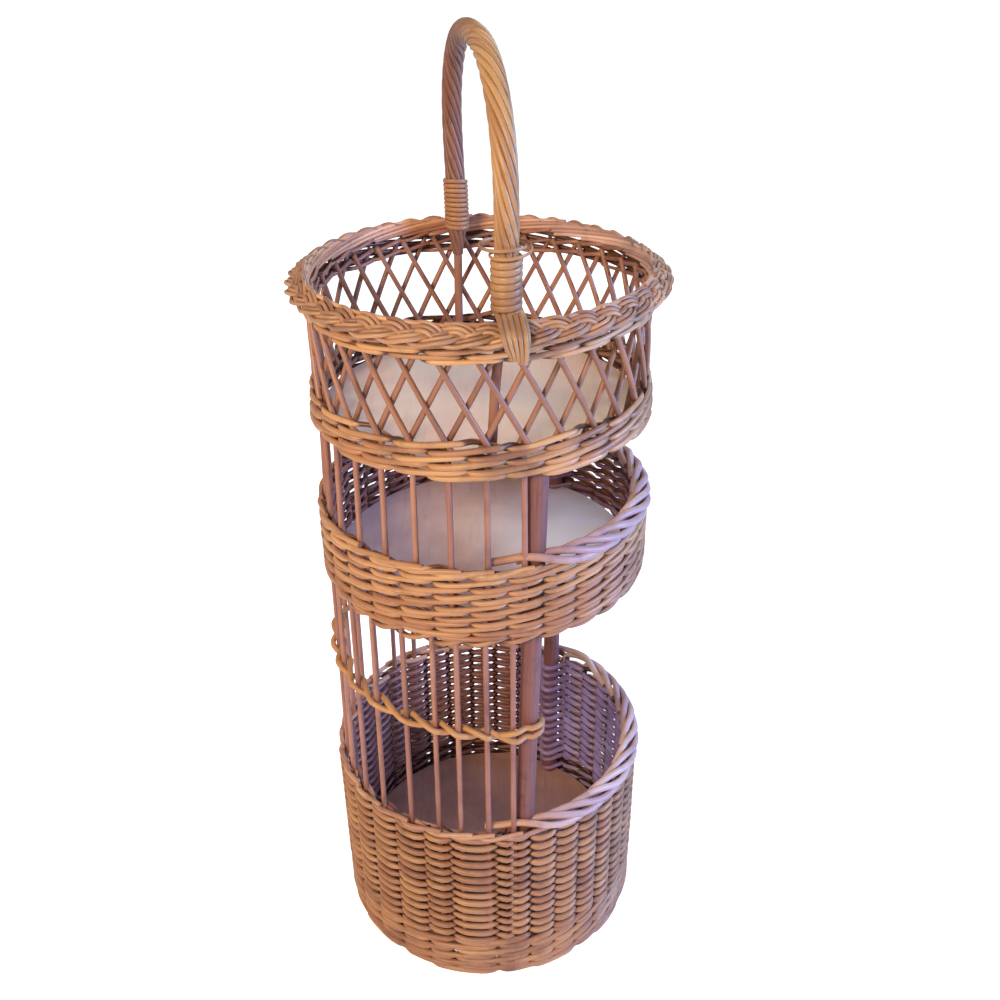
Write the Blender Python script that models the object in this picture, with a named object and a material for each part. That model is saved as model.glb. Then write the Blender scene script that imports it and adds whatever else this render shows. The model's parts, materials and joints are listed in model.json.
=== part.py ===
"""Three-tier willow basket stand with a twisted bow handle.

Units are metres and +Z is up. The origin is on the stand's axis, on the floor. Azimuths are degrees
about the axis from +X. The two posts stand at the edges of the opening, which faces +X. The other half
of the stand is closed by thin upright stakes that rise from tier to tier.
"""
from math import atan2, ceil, cos, degrees, pi, radians, sin

import bmesh
import bpy
import numpy as np
from mathutils import Vector

# Clearance between touching solids
FIT = 0.0003

# Round rods, as radii
STAKE_FOOT_RADIUS = 0.0030
STAKE_TIP_RADIUS = 0.0026
STAKE_SIDES = 5
STICK_SHARP_ANGLE = 70.0
TWINE_RADIUS = 0.0020
LATTICE_ROD_RADIUS = 0.0023
PLAIT_STRAND_RADIUS = 0.0034
HANDLE_ROD_RADIUS = 0.0032
CORE_RADIUS = 0.0020
LINER_RADIUS = 0.0038
BINDING_RADIUS = 0.00175

# Posts at the two edges of the opening, leaning in a little, with their azimuths at foot and head
POST_RADIUS = 0.0095
POST_SIDES = 12
POST_FOOT_CIRCLE = 0.1505
POST_HEAD_CIRCLE = 0.1465
FRONT_POST_AZIMUTHS = (-77.7, -71.2)
BACK_POST_AZIMUTHS = (57.0, 57.0)

# Plywood floors
BOARD_THICKNESS = 0.0060
BOARD_SIDES = 32
LEDGE_WIDTH = 0.0050
LEDGE_THICKNESS = 0.0025

# Bottom basket
BASKET_CIRCLE = 0.1620
BASKET_HALF_WALL = 0.0070
BASKET_TOP = 0.2160
FOOT_HEIGHT = 0.0540
FOOT_ROWS = 5
FOOT_RELIEF = 0.0030
FOOT_INSET = 0.0020
BASKET_FLOOR = 0.0270
BASKET_ROWS = 32
BASKET_STAKES = 20
BASKET_OPEN_COLUMNS = 14
BASKET_FIRST_AZIMUTH = -80.9
BASKET_STAKE_SPACING = 11.04
BASKET_DRIFT_SHARES = (0.0, 0.16, 0.26, 0.50, 0.47, 0.23, 0.16)
BASKET_STAKE_DEPTH = 0.1500

# Middle tray
TRAY_CIRCLE = 0.1563
TRAY_HALF_WALL = 0.0070
LOWER_GAP_HEIGHT = 0.2460
TRAY_HEIGHT = 0.0710
TRAY_ROWS = 8
TRAY_INNER_ROWS = 3
TRAY_COLUMNS = 30
TRAY_STAKES = 19
TRAY_FIRST_AZIMUTH = -76.8
TRAY_STAKE_DEPTH = 0.0400
BASKET_STAKE_ENTRY = 0.0200

# Relief of the woven rows, and the rolled border on the open half of the two lower tiers
ROW_RELIEF = 0.0022
BORDER_HEIGHT = 0.0130
BORDER_OVERHANG = 0.0035
BORDER_ROOT = 0.0030
BORDER_KNUCKLE = 0.0012
RIM_CHAMFER = 0.0020
FLOOR_KERB = 0.0050
KEEL_WIDTH = 0.0110
KEEL_DROP = 0.0085

# Top tray: waled band, lattice, and the wale that ties the lattice's tops
LATTICE_CIRCLE = 0.1521
LATTICE_STEP = 0.0300
LATTICE_LEAN = 6.0
LATTICE_BENDS = 2
UPPER_GAP_HEIGHT = 0.0970
BAND_HEIGHT = 0.0270
BAND_ROWS = 4
BAND_RELIEF = 0.0014
BAND_OUTER_WALL = 0.0030
BAND_INNER_WALL = 0.0028
BAND_SLOT_DEPTH = 0.0120
BAND_STAKE_ENTRY = 0.0110
LATTICE_HEIGHT = 0.0760
WALE_HEIGHT = 0.0130
WALE_HALF_WIDTH = 0.0070
WALE_KNUCKLE = 0.0010
WALE_ENTRY = 0.0060

# Plaited border of three strands
PLAIT_CIRCLE = 0.1627
PLAIT_SWING = 0.0090
PLAIT_RISE = 0.0056
PLAIT_STRANDS = 3
PLAIT_PERIODS = 10
PLAIT_PERIOD_POINTS = 6

# Bow handle: core rod, five twisted rods and two bindings
HANDLE_TOP = 0.9600
LEG_SHARE = 0.266
LEG_EASE_SHARE = 0.696
ARCH_CIRCLE = 0.1560
ARCH_POWER = 2.5
HANDLE_FRONT_AZIMUTH = -82.0
HANDLE_BACK_AZIMUTH = 99.0
LINER_FRONT_AZIMUTH = -87.0
HANDLE_FRONT_CIRCLE = 0.1485
HANDLE_BACK_CIRCLE = 0.1335
LINER_CIRCLE = 0.1385
TWIST_PITCH = 0.1050
TWIST_RODS = 5
TWIST_CIRCLE = 0.0064
TWIST_POINTS = 7
BACK_ROD_DEPTH = 0.0335
LEG_STEPS = 40
ARCH_STEPS = 240
FAN_SPACING = 0.0069
FAN_DROP = 0.0300
FAN_GATHER_SHARE = 0.92
LINER_TURN_SHARE = 0.8
LINER_EASE_SCALE = 1.2
BINDING_PITCH = 0.0043
BINDING_POINTS = 12
FRONT_TIGHT_LOOPS = 8
FRONT_LOOSE_LOOPS = 1
LOOSE_PITCH = 0.0078
LOOSE_SLACK = 0.0012
WIDE_LOOP_REACH = 0.0125
TAIL_LENGTH = 0.0140
TAIL_POINTS = 4
TAIL_CURL_SHARE = 0.2
BACK_BINDING_DEPTH = 0.0050
BACK_LOOPS = 11
CORE_POINTS = 30

# Twined guard band round the thin stakes of the lower gap
TWINE_FRONT_RISE_HEIGHT = 0.1290
TWINE_BACK_RISE_HEIGHT = 0.1690
TWINE_CROSSING = 0.0027
TWINE_LOOP_POINTS = 7
TWINE_LOOP_TURN = 225.0
TWINE_END_SHARE = 0.6
TWINE_INNER_TURNS = (0.0, -40.0)
TWINE_OUTER_TURNS = (135.0, 180.0, 220.0)

# Values that follow from the sizes above
BASKET_OUTER = BASKET_CIRCLE + BASKET_HALF_WALL
BASKET_INNER = BASKET_CIRCLE - BASKET_HALF_WALL
TRAY_OUTER = TRAY_CIRCLE + TRAY_HALF_WALL
TRAY_INNER = TRAY_CIRCLE - TRAY_HALF_WALL
CHORD_SHARE = cos(pi / TRAY_COLUMNS)
TRAY_BOARD_RADIUS = TRAY_INNER * CHORD_SHARE - FIT
TRAY_FOOT = BASKET_TOP + LOWER_GAP_HEIGHT
TRAY_TOP = TRAY_FOOT + TRAY_HEIGHT
TRAY_BOARD_FOOT = TRAY_FOOT - KEEL_DROP + LEDGE_THICKNESS + FIT
TRAY_FLOOR = TRAY_BOARD_FOOT + BOARD_THICKNESS
LATTICE_SET_OFFSET = LATTICE_ROD_RADIUS + FIT / 2
LATTICE_HALF_DEPTH = LATTICE_SET_OFFSET + LATTICE_ROD_RADIUS
BAND_SLOT_OUTER = (LATTICE_CIRCLE + LATTICE_HALF_DEPTH + FIT) / CHORD_SHARE
BAND_SLOT_INNER = LATTICE_CIRCLE - LATTICE_HALF_DEPTH - 3 * FIT
BAND_FOOT = TRAY_TOP + UPPER_GAP_HEIGHT
BAND_TOP = BAND_FOOT + BAND_HEIGHT
BAND_SLOT_FLOOR = BAND_TOP - BAND_SLOT_DEPTH
BAND_OUTER = BAND_SLOT_OUTER + BAND_OUTER_WALL
BAND_INNER = BAND_SLOT_INNER - BAND_INNER_WALL
BAND_BOARD_RADIUS = BAND_INNER * CHORD_SHARE - FIT
BAND_BOARD_FOOT = BAND_FOOT - KEEL_DROP + LEDGE_THICKNESS + FIT
BAND_FLOOR = BAND_BOARD_FOOT + BOARD_THICKNESS
WALE_FOOT = BAND_TOP + LATTICE_HEIGHT
WALE_TOP = WALE_FOOT + WALE_HEIGHT
PLAIT_HALF_DEPTH = PLAIT_RISE * cos(pi / PLAIT_PERIOD_POINTS) + PLAIT_STRAND_RADIUS
PLAIT_HEIGHT = WALE_TOP + PLAIT_HALF_DEPTH
PLAIT_TOP = PLAIT_HEIGHT + PLAIT_HALF_DEPTH
PLAIT_OUTER = PLAIT_CIRCLE + PLAIT_SWING + PLAIT_STRAND_RADIUS
HANDLE_RISE = HANDLE_TOP - PLAIT_TOP
ARCH_SPRING = PLAIT_TOP + LEG_SHARE * HANDLE_RISE
LEG_EASE_TOP = PLAIT_TOP + LEG_EASE_SHARE * HANDLE_RISE
BACK_ROD_END = PLAIT_TOP - BACK_ROD_DEPTH
BACK_BINDING_FOOT = PLAIT_TOP - BACK_BINDING_DEPTH
TWINE_FRONT_HEIGHT = BASKET_TOP + TWINE_FRONT_RISE_HEIGHT
TWINE_BACK_HEIGHT = BASKET_TOP + TWINE_BACK_RISE_HEIGHT
FAN_HEIGHT = PLAIT_TOP + HANDLE_ROD_RADIUS + FIT
TWIST_FOOT = FAN_HEIGHT + HANDLE_ROD_RADIUS
FAN_CIRCLE = PLAIT_OUTER + HANDLE_ROD_RADIUS + FIT
FAN_BEND = HANDLE_ROD_RADIUS / 2
BUNDLE_RADIUS = TWIST_CIRCLE + HANDLE_ROD_RADIUS
BINDING_CIRCLE = BUNDLE_RADIUS + BINDING_RADIUS + FIT
FRONT_BINDING_FOOT = TWIST_FOOT + BINDING_RADIUS + 2 * FIT


def linear_colour(red, green, blue):
    """Turn an 8-bit sRGB colour into the linear RGBA that a shader takes."""
    channels = []
    for value in (red, green, blue):
        share = value / 255
        channels.append(share / 12.92 if share <= 0.04045 else ((share + 0.055) / 1.055) ** 2.4)
    return (*channels, 1.0)


MATERIALS = {
    "golden_willow": (linear_colour(206, 150, 98), 0.55),
    "brown_willow": (linear_colour(160, 110, 88), 0.60),
    "rosy_post": (linear_colour(150, 96, 88), 0.60),
    "pale_board": (linear_colour(222, 200, 184), 0.75),
    "grey_board": (linear_colour(160, 148, 150), 0.75),
}


def make_material(name):
    """Return the named material, made on first use."""
    material = bpy.data.materials.get(name)
    if material is None:
        colour, roughness = MATERIALS[name]
        material = bpy.data.materials.new(name)
        material.use_nodes = True
        shader = material.node_tree.nodes["Principled BSDF"]
        shader.inputs["Base Color"].default_value = colour
        shader.inputs["Roughness"].default_value = roughness
        shader.inputs["Metallic"].default_value = 0.0
        material.diffuse_color = colour
    return material


def make_collection(name):
    """Add a collection to the scene."""
    collection = bpy.data.collections.new(name)
    bpy.context.scene.collection.children.link(collection)
    return collection


def clear_scene():
    """Remove what the scene holds at the start."""
    for leftover in list(bpy.data.objects):
        bpy.data.objects.remove(leftover, do_unlink=True)


def add_object(name, data, material, collection):
    """Link new object data under a name, with its material."""
    item = bpy.data.objects.new(name, data)
    data.materials.append(make_material(material))
    collection.objects.link(item)
    return item


def polar(radius, azimuth, height):
    """Point at a radius, an azimuth in degrees and a height."""
    angle = radians(azimuth)
    return Vector((radius * cos(angle), radius * sin(angle), height))


def azimuth_of(point):
    """Azimuth of a point in degrees."""
    return degrees(atan2(point[1], point[0]))


def rod(name, points, radius, material, collection, resolution=1, scales=None, closed=False):
    """A round rod along a polyline of points, capped unless it is closed."""
    curve = bpy.data.curves.new(name, "CURVE")
    curve.dimensions = "3D"
    curve.bevel_depth = radius
    curve.bevel_resolution = resolution
    curve.render_resolution_u = 0
    curve.use_fill_caps = not closed
    spline = curve.splines.new("POLY")
    spline.points.add(len(points) - 1)
    spline.use_cyclic_u = closed
    for index, point in enumerate(points):
        spline.points[index].co = (*point, 1.0)
        if scales is not None:
            spline.points[index].radius = scales[index]
    return add_object(name, curve, material, collection)


def finished_mesh(name, builder):
    """Turn a bmesh into a named mesh."""
    mesh = bpy.data.meshes.new(name)
    builder.to_mesh(mesh)
    builder.free()
    return mesh


def stick(name, foot, head, foot_radius, head_radius, sides, material, collection):
    """One straight tapered stick, placed by its location and rotation."""
    axis = head - foot
    builder = bmesh.new()
    bmesh.ops.create_cone(builder, cap_ends=True, segments=sides, radius1=foot_radius,
                          radius2=head_radius, depth=axis.length)
    mesh = finished_mesh(name, builder)
    item = add_object(name, mesh, material, collection)
    item.rotation_mode = "QUATERNION"
    item.rotation_quaternion = axis.to_track_quat("Z", "Y")
    item.location = (foot + head) / 2
    mesh.shade_smooth()
    mesh.set_sharp_from_angle(angle=radians(STICK_SHARP_ANGLE))
    return item


def add_cutter(name, mesh, collection):
    """Link a mesh that only shapes other objects."""
    cutter = bpy.data.objects.new(name, mesh)
    cutter.hide_render = True
    cutter.display_type = "WIRE"
    collection.objects.link(cutter)
    return cutter


def stick_cutter(name, sticks, sides, collection):
    """One cutter for a set of sticks, each given as foot, head, foot radius and head radius."""
    builder = bmesh.new()
    for foot, head, foot_radius, head_radius in sticks:
        axis = head - foot
        placement = axis.to_track_quat("Z", "Y").to_matrix().to_4x4()
        placement.translation = (foot + head) / 2
        bmesh.ops.create_cone(builder, cap_ends=True, segments=sides, radius1=foot_radius + FIT,
                              radius2=head_radius + FIT, depth=axis.length + 2 * FIT, matrix=placement)
    return add_cutter(name, finished_mesh(name, builder), collection)


def combine(item, cutter, operation):
    """Cut an object with another, or join the other to it."""
    modifier = item.modifiers.new(cutter.name, "BOOLEAN")
    modifier.operation = operation
    modifier.solver = "EXACT"
    modifier.object = cutter


def woven_ring(name, azimuths, section, material, collection):
    """A wall lofted round the axis from one closed section for each column.

    The rows of a column bulge out and in by turns, and the next column's the other way round, as
    weavers do that pass outside one stake and inside the next. section takes the column's index and
    returns its (radius, height) points, from the outer foot up, over the top and down the inside.
    """
    builder = bmesh.new()
    rings = []
    for index, azimuth in enumerate(azimuths):
        rings.append([builder.verts.new(polar(radius, azimuth, height))
                      for radius, height in section(index)])
    count = len(rings)
    size = len(rings[0])
    for index in range(count):
        here = rings[index]
        there = rings[(index + 1) % count]
        for corner in range(size):
            after = (corner + 1) % size
            builder.faces.new((here[corner], there[corner], there[after], here[after]))
    bmesh.ops.recalc_face_normals(builder, faces=builder.faces)
    return add_object(name, finished_mesh(name, builder), material, collection)


def rows(foot, top, count, radius, relief, column):
    """Middles of a column's rows from foot to top, out and in by turns."""
    pitch = (top - foot) / count
    points = []
    for row in range(count):
        side = 1 if (row + column) % 2 == 0 else -1
        points.append((radius + side * relief, foot + (row + 0.5) * pitch))
    return points


def inner_rows(floor, top, count, radius, column):
    """Inner face of a wall from its floor up: a plain kerb at the floor's edge, then its rows."""
    kerb = floor + FLOOR_KERB
    return [(radius, floor), (radius, kerb)] + rows(kerb, top, count, radius, ROW_RELIEF, column)


def is_open(azimuth):
    """Whether an azimuth lies on the open half, between the posts."""
    wrapped = (azimuth + 180) % 360 - 180
    return FRONT_POST_AZIMUTHS[0] < wrapped < BACK_POST_AZIMUTHS[0]


def rim_points(outer, inner, top, column, azimuth):
    """Section of a wall's rim: a rolled border on the open half, a plain rim on the closed half."""
    if is_open(azimuth):
        knuckle = BORDER_KNUCKLE if column % 2 == 0 else -BORDER_KNUCKLE
        crest = top + BORDER_HEIGHT
        return [(outer, top - BORDER_ROOT),
                (outer + BORDER_OVERHANG + knuckle, top + BORDER_ROOT),
                (outer + knuckle, crest),
                (inner + knuckle, crest - RIM_CHAMFER / 2),
                (inner - BORDER_ROOT / 2 + knuckle, top + BORDER_ROOT),
                (inner, top - BORDER_ROOT)]
    return [(outer, top - BORDER_ROOT),
            (outer - RIM_CHAMFER / 4, top - RIM_CHAMFER / 2),
            (outer - RIM_CHAMFER, top),
            (inner + RIM_CHAMFER, top),
            (inner + RIM_CHAMFER / 4, top - RIM_CHAMFER / 2),
            (inner, top - BORDER_ROOT)]


def basket_stake_azimuths():
    """Azimuths of the thin stakes of the closed half of the bottom basket, front to back."""
    azimuths = []
    for index in range(BASKET_STAKES):
        drift = BASKET_DRIFT_SHARES[index] if index < len(BASKET_DRIFT_SHARES) else 0.0
        azimuths.append(BASKET_FIRST_AZIMUTH + (drift - index) * BASKET_STAKE_SPACING)
    return azimuths


def tray_stake_azimuths():
    """Azimuths of the thin stakes between the middle tray and the top tray, front to back."""
    return tray_columns()[:TRAY_STAKES]


def basket_columns():
    """Azimuths of all columns of the bottom basket: thin stakes, back post, then the open half's."""
    azimuths = basket_stake_azimuths()
    first = azimuths[0]
    last = BACK_POST_AZIMUTHS[0]
    step = (first - last) / BASKET_OPEN_COLUMNS
    for index in range(BASKET_OPEN_COLUMNS):
        azimuths.append(last + index * step)
    return azimuths


def tray_columns():
    """Azimuths of the columns of the two upper tiers."""
    spacing = 360 / TRAY_COLUMNS
    return [TRAY_FIRST_AZIMUTH - index * spacing for index in range(TRAY_COLUMNS)]


def basket_stake_line(azimuth):
    """Foot, head and end radii of a thin stake from the bottom basket up into the middle tray."""
    foot = polar(BASKET_CIRCLE, azimuth, BASKET_TOP - BASKET_STAKE_DEPTH)
    head = polar(TRAY_CIRCLE, azimuth, TRAY_FOOT + BASKET_STAKE_ENTRY)
    return foot, head, STAKE_FOOT_RADIUS, STAKE_TIP_RADIUS


def tray_stake_line(azimuth):
    """Foot, head and end radii of a thin stake from the middle tray up into the top band."""
    foot = polar(TRAY_CIRCLE, azimuth, TRAY_TOP - TRAY_STAKE_DEPTH)
    head = polar(LATTICE_CIRCLE, azimuth, BAND_FOOT + BAND_STAKE_ENTRY)
    return foot, head, STAKE_FOOT_RADIUS, STAKE_TIP_RADIUS


def post_line(azimuths):
    """Foot, head and end radii of a post, from the bottom floor to under the top floor."""
    foot = polar(POST_FOOT_CIRCLE, azimuths[0], BASKET_FLOOR + FIT)
    head = polar(POST_HEAD_CIRCLE, azimuths[1], BAND_BOARD_FOOT - FIT)
    return foot, head, POST_RADIUS, POST_RADIUS


def basket_section(azimuths):
    """Section maker of the bottom basket's wall: waled foot, randed rows, rim and floor ledge.

    Its inner face is plain, because the weavers show in relief on the outer one.
    """
    def section(column):
        ledge = BASKET_FLOOR - BOARD_THICKNESS - FIT
        step = BASKET_INNER - LEDGE_WIDTH
        root = BASKET_TOP - BORDER_ROOT
        outer_rows = rows(FOOT_HEIGHT, root, BASKET_ROWS, BASKET_OUTER, ROW_RELIEF, column)
        foot_rows = rows(0, FOOT_HEIGHT, FOOT_ROWS, BASKET_OUTER, FOOT_RELIEF, column)
        rim = rim_points(BASKET_OUTER, BASKET_INNER, BASKET_TOP, column, azimuths[column])
        foot = [(BASKET_OUTER - FOOT_INSET, 0)]
        floor = [(BASKET_INNER, ledge), (step, ledge), (step, 0)]
        return foot + foot_rows + outer_rows + rim + floor
    return section


def keel_points(outer, inner, foot):
    """Underside of an upper tier: in under the rows, then down to the ledge that carries its floor."""
    step = inner - LEDGE_WIDTH
    ledge = foot - KEEL_DROP
    seat = ledge + LEDGE_THICKNESS
    return [(inner, seat), (step, seat), (step, ledge),
            (outer - KEEL_WIDTH, ledge), (outer - KEEL_WIDTH, foot - LEDGE_THICKNESS), (outer, foot)]


def tray_section(azimuths):
    """Section maker of the middle tray's wall: rows, rim, inner rows and floor ledge."""
    def section(column):
        root = TRAY_TOP - BORDER_ROOT
        outer_rows = rows(TRAY_FOOT, root, TRAY_ROWS, TRAY_OUTER, ROW_RELIEF, column)
        inside = inner_rows(TRAY_FLOOR, root, TRAY_INNER_ROWS, TRAY_INNER, column)
        rim = rim_points(TRAY_OUTER, TRAY_INNER, TRAY_TOP, column, azimuths[column])
        return outer_rows + rim + inside[::-1] + keel_points(TRAY_OUTER, TRAY_INNER, TRAY_FOOT)
    return section


def band_section(column):
    """Section of the top tray's waled band, with the slot that the lattice stands in."""
    outer_rows = rows(BAND_FOOT, BAND_TOP, BAND_ROWS, BAND_OUTER, BAND_RELIEF, column)
    top = [(BAND_OUTER - RIM_CHAMFER / 2, BAND_TOP), (BAND_SLOT_OUTER, BAND_TOP),
           (BAND_SLOT_OUTER, BAND_SLOT_FLOOR), (BAND_SLOT_INNER, BAND_SLOT_FLOOR),
           (BAND_SLOT_INNER, BAND_TOP), (BAND_INNER, BAND_TOP), (BAND_INNER, BAND_FLOOR)]
    return outer_rows + top + keel_points(BAND_OUTER, BAND_INNER, BAND_FOOT)


def board(name, radius, foot, material, collection):
    """A round plywood floor."""
    bpy.ops.mesh.primitive_cylinder_add(vertices=BOARD_SIDES, radius=radius, depth=BOARD_THICKNESS,
                                        location=(0, 0, foot + BOARD_THICKNESS / 2))
    item = bpy.context.object
    item.name = name
    item.data.name = name
    item.data.materials.append(make_material(material))
    for holder in list(item.users_collection):
        holder.objects.unlink(item)
    collection.objects.link(item)
    return item


def lattice_rod_points(start, sense):
    """Points of one lattice rod, leaning by a fixed angle for each step of height."""
    circle = LATTICE_CIRCLE - sense * LATTICE_SET_OFFSET
    foot = BAND_SLOT_FLOOR + 2 * FIT + LATTICE_ROD_RADIUS / 2
    head = WALE_FOOT + WALE_ENTRY
    points = []
    for bend in range(LATTICE_BENDS + 1):
        height = foot + (head - foot) * bend / LATTICE_BENDS
        lean = (height - BAND_TOP) / LATTICE_STEP * LATTICE_LEAN
        points.append(polar(circle, start + sense * lean, height))
    return points


def wale_section(column):
    """Section of the wale that ties the lattice's tops under the plait."""
    knuckle = WALE_KNUCKLE if column % 2 == 0 else -WALE_KNUCKLE
    outer = LATTICE_CIRCLE + WALE_HALF_WIDTH
    inner = LATTICE_CIRCLE - WALE_HALF_WIDTH
    middle = WALE_FOOT + WALE_HEIGHT / 2
    return [(outer, WALE_FOOT), (outer + 2 * WALE_KNUCKLE + knuckle, middle), (outer, WALE_TOP),
            (inner, WALE_TOP), (inner + knuckle, middle), (inner, WALE_FOOT)]


def build_lattice(collection, cutters):
    """The lattice: rods of both leans, joined at their tops by the wale that binds them.

    The rods that lean one way run inside, the others outside, and each ends in the wale.
    """
    lattice = woven_ring("top_lattice", tray_columns(), wale_section, "brown_willow", collection)
    curve = bpy.data.curves.new("lattice_rods", "CURVE")
    curve.dimensions = "3D"
    curve.bevel_depth = LATTICE_ROD_RADIUS
    curve.bevel_resolution = 0
    curve.render_resolution_u = 0
    curve.use_fill_caps = True
    for azimuth in tray_columns():
        for sense in (1, -1):
            points = lattice_rod_points(azimuth, sense)
            spline = curve.splines.new("POLY")
            spline.points.add(len(points) - 1)
            for index, point in enumerate(points):
                spline.points[index].co = (*point, 1.0)
    source = bpy.data.objects.new("lattice_rods", curve)
    collection.objects.link(source)
    bpy.context.view_layer.update()
    evaluated = source.evaluated_get(bpy.context.evaluated_depsgraph_get())
    builder = bmesh.new()
    builder.from_mesh(bpy.data.meshes.new_from_object(evaluated))
    bmesh.ops.remove_doubles(builder, verts=builder.verts, dist=FIT / 10)
    bmesh.ops.recalc_face_normals(builder, faces=builder.faces)
    bpy.data.objects.remove(source, do_unlink=True)
    rods = add_cutter("lattice_rod_mesh", finished_mesh("lattice_rod_mesh", builder), cutters)
    combine(lattice, rods, "UNION")


def plait_points(strand):
    """Points of one strand of the plaited border: a swing across and two rises in each period.

    The points lie half a step off the middle of the swing, where crossing strands are clear.
    """
    count = PLAIT_PERIODS * PLAIT_PERIOD_POINTS
    points = []
    for index in range(count):
        share = index / count
        phase = 2 * pi * (PLAIT_PERIODS * share + 0.5 / PLAIT_PERIOD_POINTS + strand / PLAIT_STRANDS)
        radius = PLAIT_CIRCLE + PLAIT_SWING * sin(phase)
        height = PLAIT_HEIGHT + PLAIT_RISE * sin(2 * phase)
        points.append(polar(radius, 360 * share, height))
    return points


def leg_shift(foot_circle, foot_height, height):
    """How far a handle leg stands in from the arch's own circle, eased from nothing to its foot."""
    share = min(max((LEG_EASE_TOP - height) / (LEG_EASE_TOP - foot_height), 0), 1)
    return (ARCH_CIRCLE - foot_circle) * (1 - cos(pi * share)) / 2


def handle_centreline():
    """Fine points of the handle's middle line from the front foot, over the arch, to the back foot."""
    start = polar(ARCH_CIRCLE, HANDLE_FRONT_AZIMUTH, 0)
    end = polar(ARCH_CIRCLE, HANDLE_BACK_AZIMUTH, 0)
    middle = (start + end) / 2
    half = (start - end) / 2
    points = []
    for index in range(LEG_STEPS):
        height = TWIST_FOOT + (ARCH_SPRING - TWIST_FOOT) * index / LEG_STEPS
        points.append(start + Vector((0, 0, height)))
    for index in range(ARCH_STEPS + 1):
        angle = pi * index / ARCH_STEPS
        across = abs(cos(angle)) ** (2 / ARCH_POWER) * (1 if angle < pi / 2 else -1)
        up = sin(angle) ** (2 / ARCH_POWER)
        point = middle + half * across
        point.z = ARCH_SPRING + (HANDLE_TOP - BUNDLE_RADIUS - ARCH_SPRING) * up
        points.append(point)
    for index in range(1, LEG_STEPS + 1):
        height = ARCH_SPRING + (BACK_ROD_END - ARCH_SPRING) * index / LEG_STEPS
        points.append(end + Vector((0, 0, height)))
    count = len(points)
    for index, point in enumerate(points):
        if index < count / 2:
            point -= start.normalized() * leg_shift(HANDLE_FRONT_CIRCLE, TWIST_FOOT, point.z)
        else:
            point -= end.normalized() * leg_shift(HANDLE_BACK_CIRCLE, PLAIT_TOP, point.z)
    return np.array([tuple(point) for point in points])


def distances_along(line):
    """Distance along a polyline at each of its points."""
    runs = np.linalg.norm(np.diff(line, axis=0), axis=1)
    return np.concatenate(([0], np.cumsum(runs)))


def points_along(line, lengths):
    """Points of a polyline at distances along it."""
    travelled = distances_along(line)
    return np.stack([np.interp(lengths, travelled, line[:, axis]) for axis in range(3)], axis=-1)


def handle_frame(line, lengths):
    """Points on the handle's line, with an outward and a sideways unit vector at each."""
    directions = points_along(line, lengths + FIT) - points_along(line, lengths - FIT)
    directions /= np.linalg.norm(directions, axis=1)[:, None]
    side = np.array(tuple(polar(1, HANDLE_FRONT_AZIMUTH + 90, 0)))
    outward = np.cross(side, directions)
    outward /= np.linalg.norm(outward, axis=1)[:, None]
    return points_along(line, lengths), outward, np.cross(directions, outward)


def handle_rod_points(line, index):
    """Points of one twisted rod, from its fanned front end to its end inside the back border."""
    total = distances_along(line)[-1]
    lengths = np.linspace(0, total, ceil(total / TWIST_PITCH * TWIST_POINTS) + 1)
    places, outward, sideways = handle_frame(line, lengths)
    turn = 2 * pi * (index / TWIST_RODS - lengths / TWIST_PITCH)
    offsets = np.cos(turn)[:, None] * outward + np.sin(turn)[:, None] * sideways
    twisted = [Vector(point) for point in places + TWIST_CIRCLE * offsets]
    slot = index if index <= TWIST_RODS // 2 else index - TWIST_RODS
    lateral = slot * FAN_SPACING
    radial = Vector(polar(1, HANDLE_FRONT_AZIMUTH, 0))
    across = Vector(polar(1, HANDLE_FRONT_AZIMUTH + 90, 0))
    rise = Vector((0, 0, 1))
    start = HANDLE_FRONT_CIRCLE + TWIST_CIRCLE * cos(turn[0])
    fan = [(start + FAN_BEND, FAN_GATHER_SHARE * lateral, FAN_HEIGHT + FAN_BEND),
           (PLAIT_CIRCLE, lateral, FAN_HEIGHT),
           (FAN_CIRCLE - 2 * FAN_BEND, lateral, FAN_HEIGHT - FAN_BEND),
           (FAN_CIRCLE, lateral, PLAIT_TOP - 2 * FAN_BEND),
           (FAN_CIRCLE, lateral, PLAIT_TOP - FAN_DROP)]
    loose = [radial * out + across * aside + rise * height for out, aside, height in fan]
    return loose[::-1] + twisted


def build_handle(collection):
    """Core rod with its two liners, and the twisted rods round it."""
    line = handle_centreline()
    total = distances_along(line)[-1]
    places = [Vector(point) for point in points_along(line, np.linspace(0, total, CORE_POINTS))]
    floor = BAND_FLOOR + FIT + LINER_RADIUS / 4
    turned = LINER_FRONT_AZIMUTH + LINER_TURN_SHARE * (HANDLE_FRONT_AZIMUTH - LINER_FRONT_AZIMUTH)
    front = [polar(LINER_CIRCLE, LINER_FRONT_AZIMUTH, floor),
             polar(LINER_CIRCLE, turned, WALE_TOP),
             polar(HANDLE_FRONT_CIRCLE - LINER_RADIUS, HANDLE_FRONT_AZIMUTH, PLAIT_TOP)]
    back = [polar(HANDLE_BACK_CIRCLE, HANDLE_BACK_AZIMUTH, BACK_ROD_END - LINER_RADIUS),
            polar(LINER_CIRCLE, HANDLE_BACK_AZIMUTH, BAND_TOP),
            polar(LINER_CIRCLE, HANDLE_BACK_AZIMUTH, floor)]
    thick = LINER_RADIUS / CORE_RADIUS
    scales = [thick, thick, LINER_EASE_SCALE] + [1.0] * CORE_POINTS + [LINER_EASE_SCALE, thick, thick]
    rod("handle_core", front + places + back, CORE_RADIUS, "brown_willow", collection, scales=scales)
    for index in range(TWIST_RODS):
        rod(f"handle_rod_{index + 1}", handle_rod_points(line, index), HANDLE_ROD_RADIUS,
            "golden_willow", collection)
    return line


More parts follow.
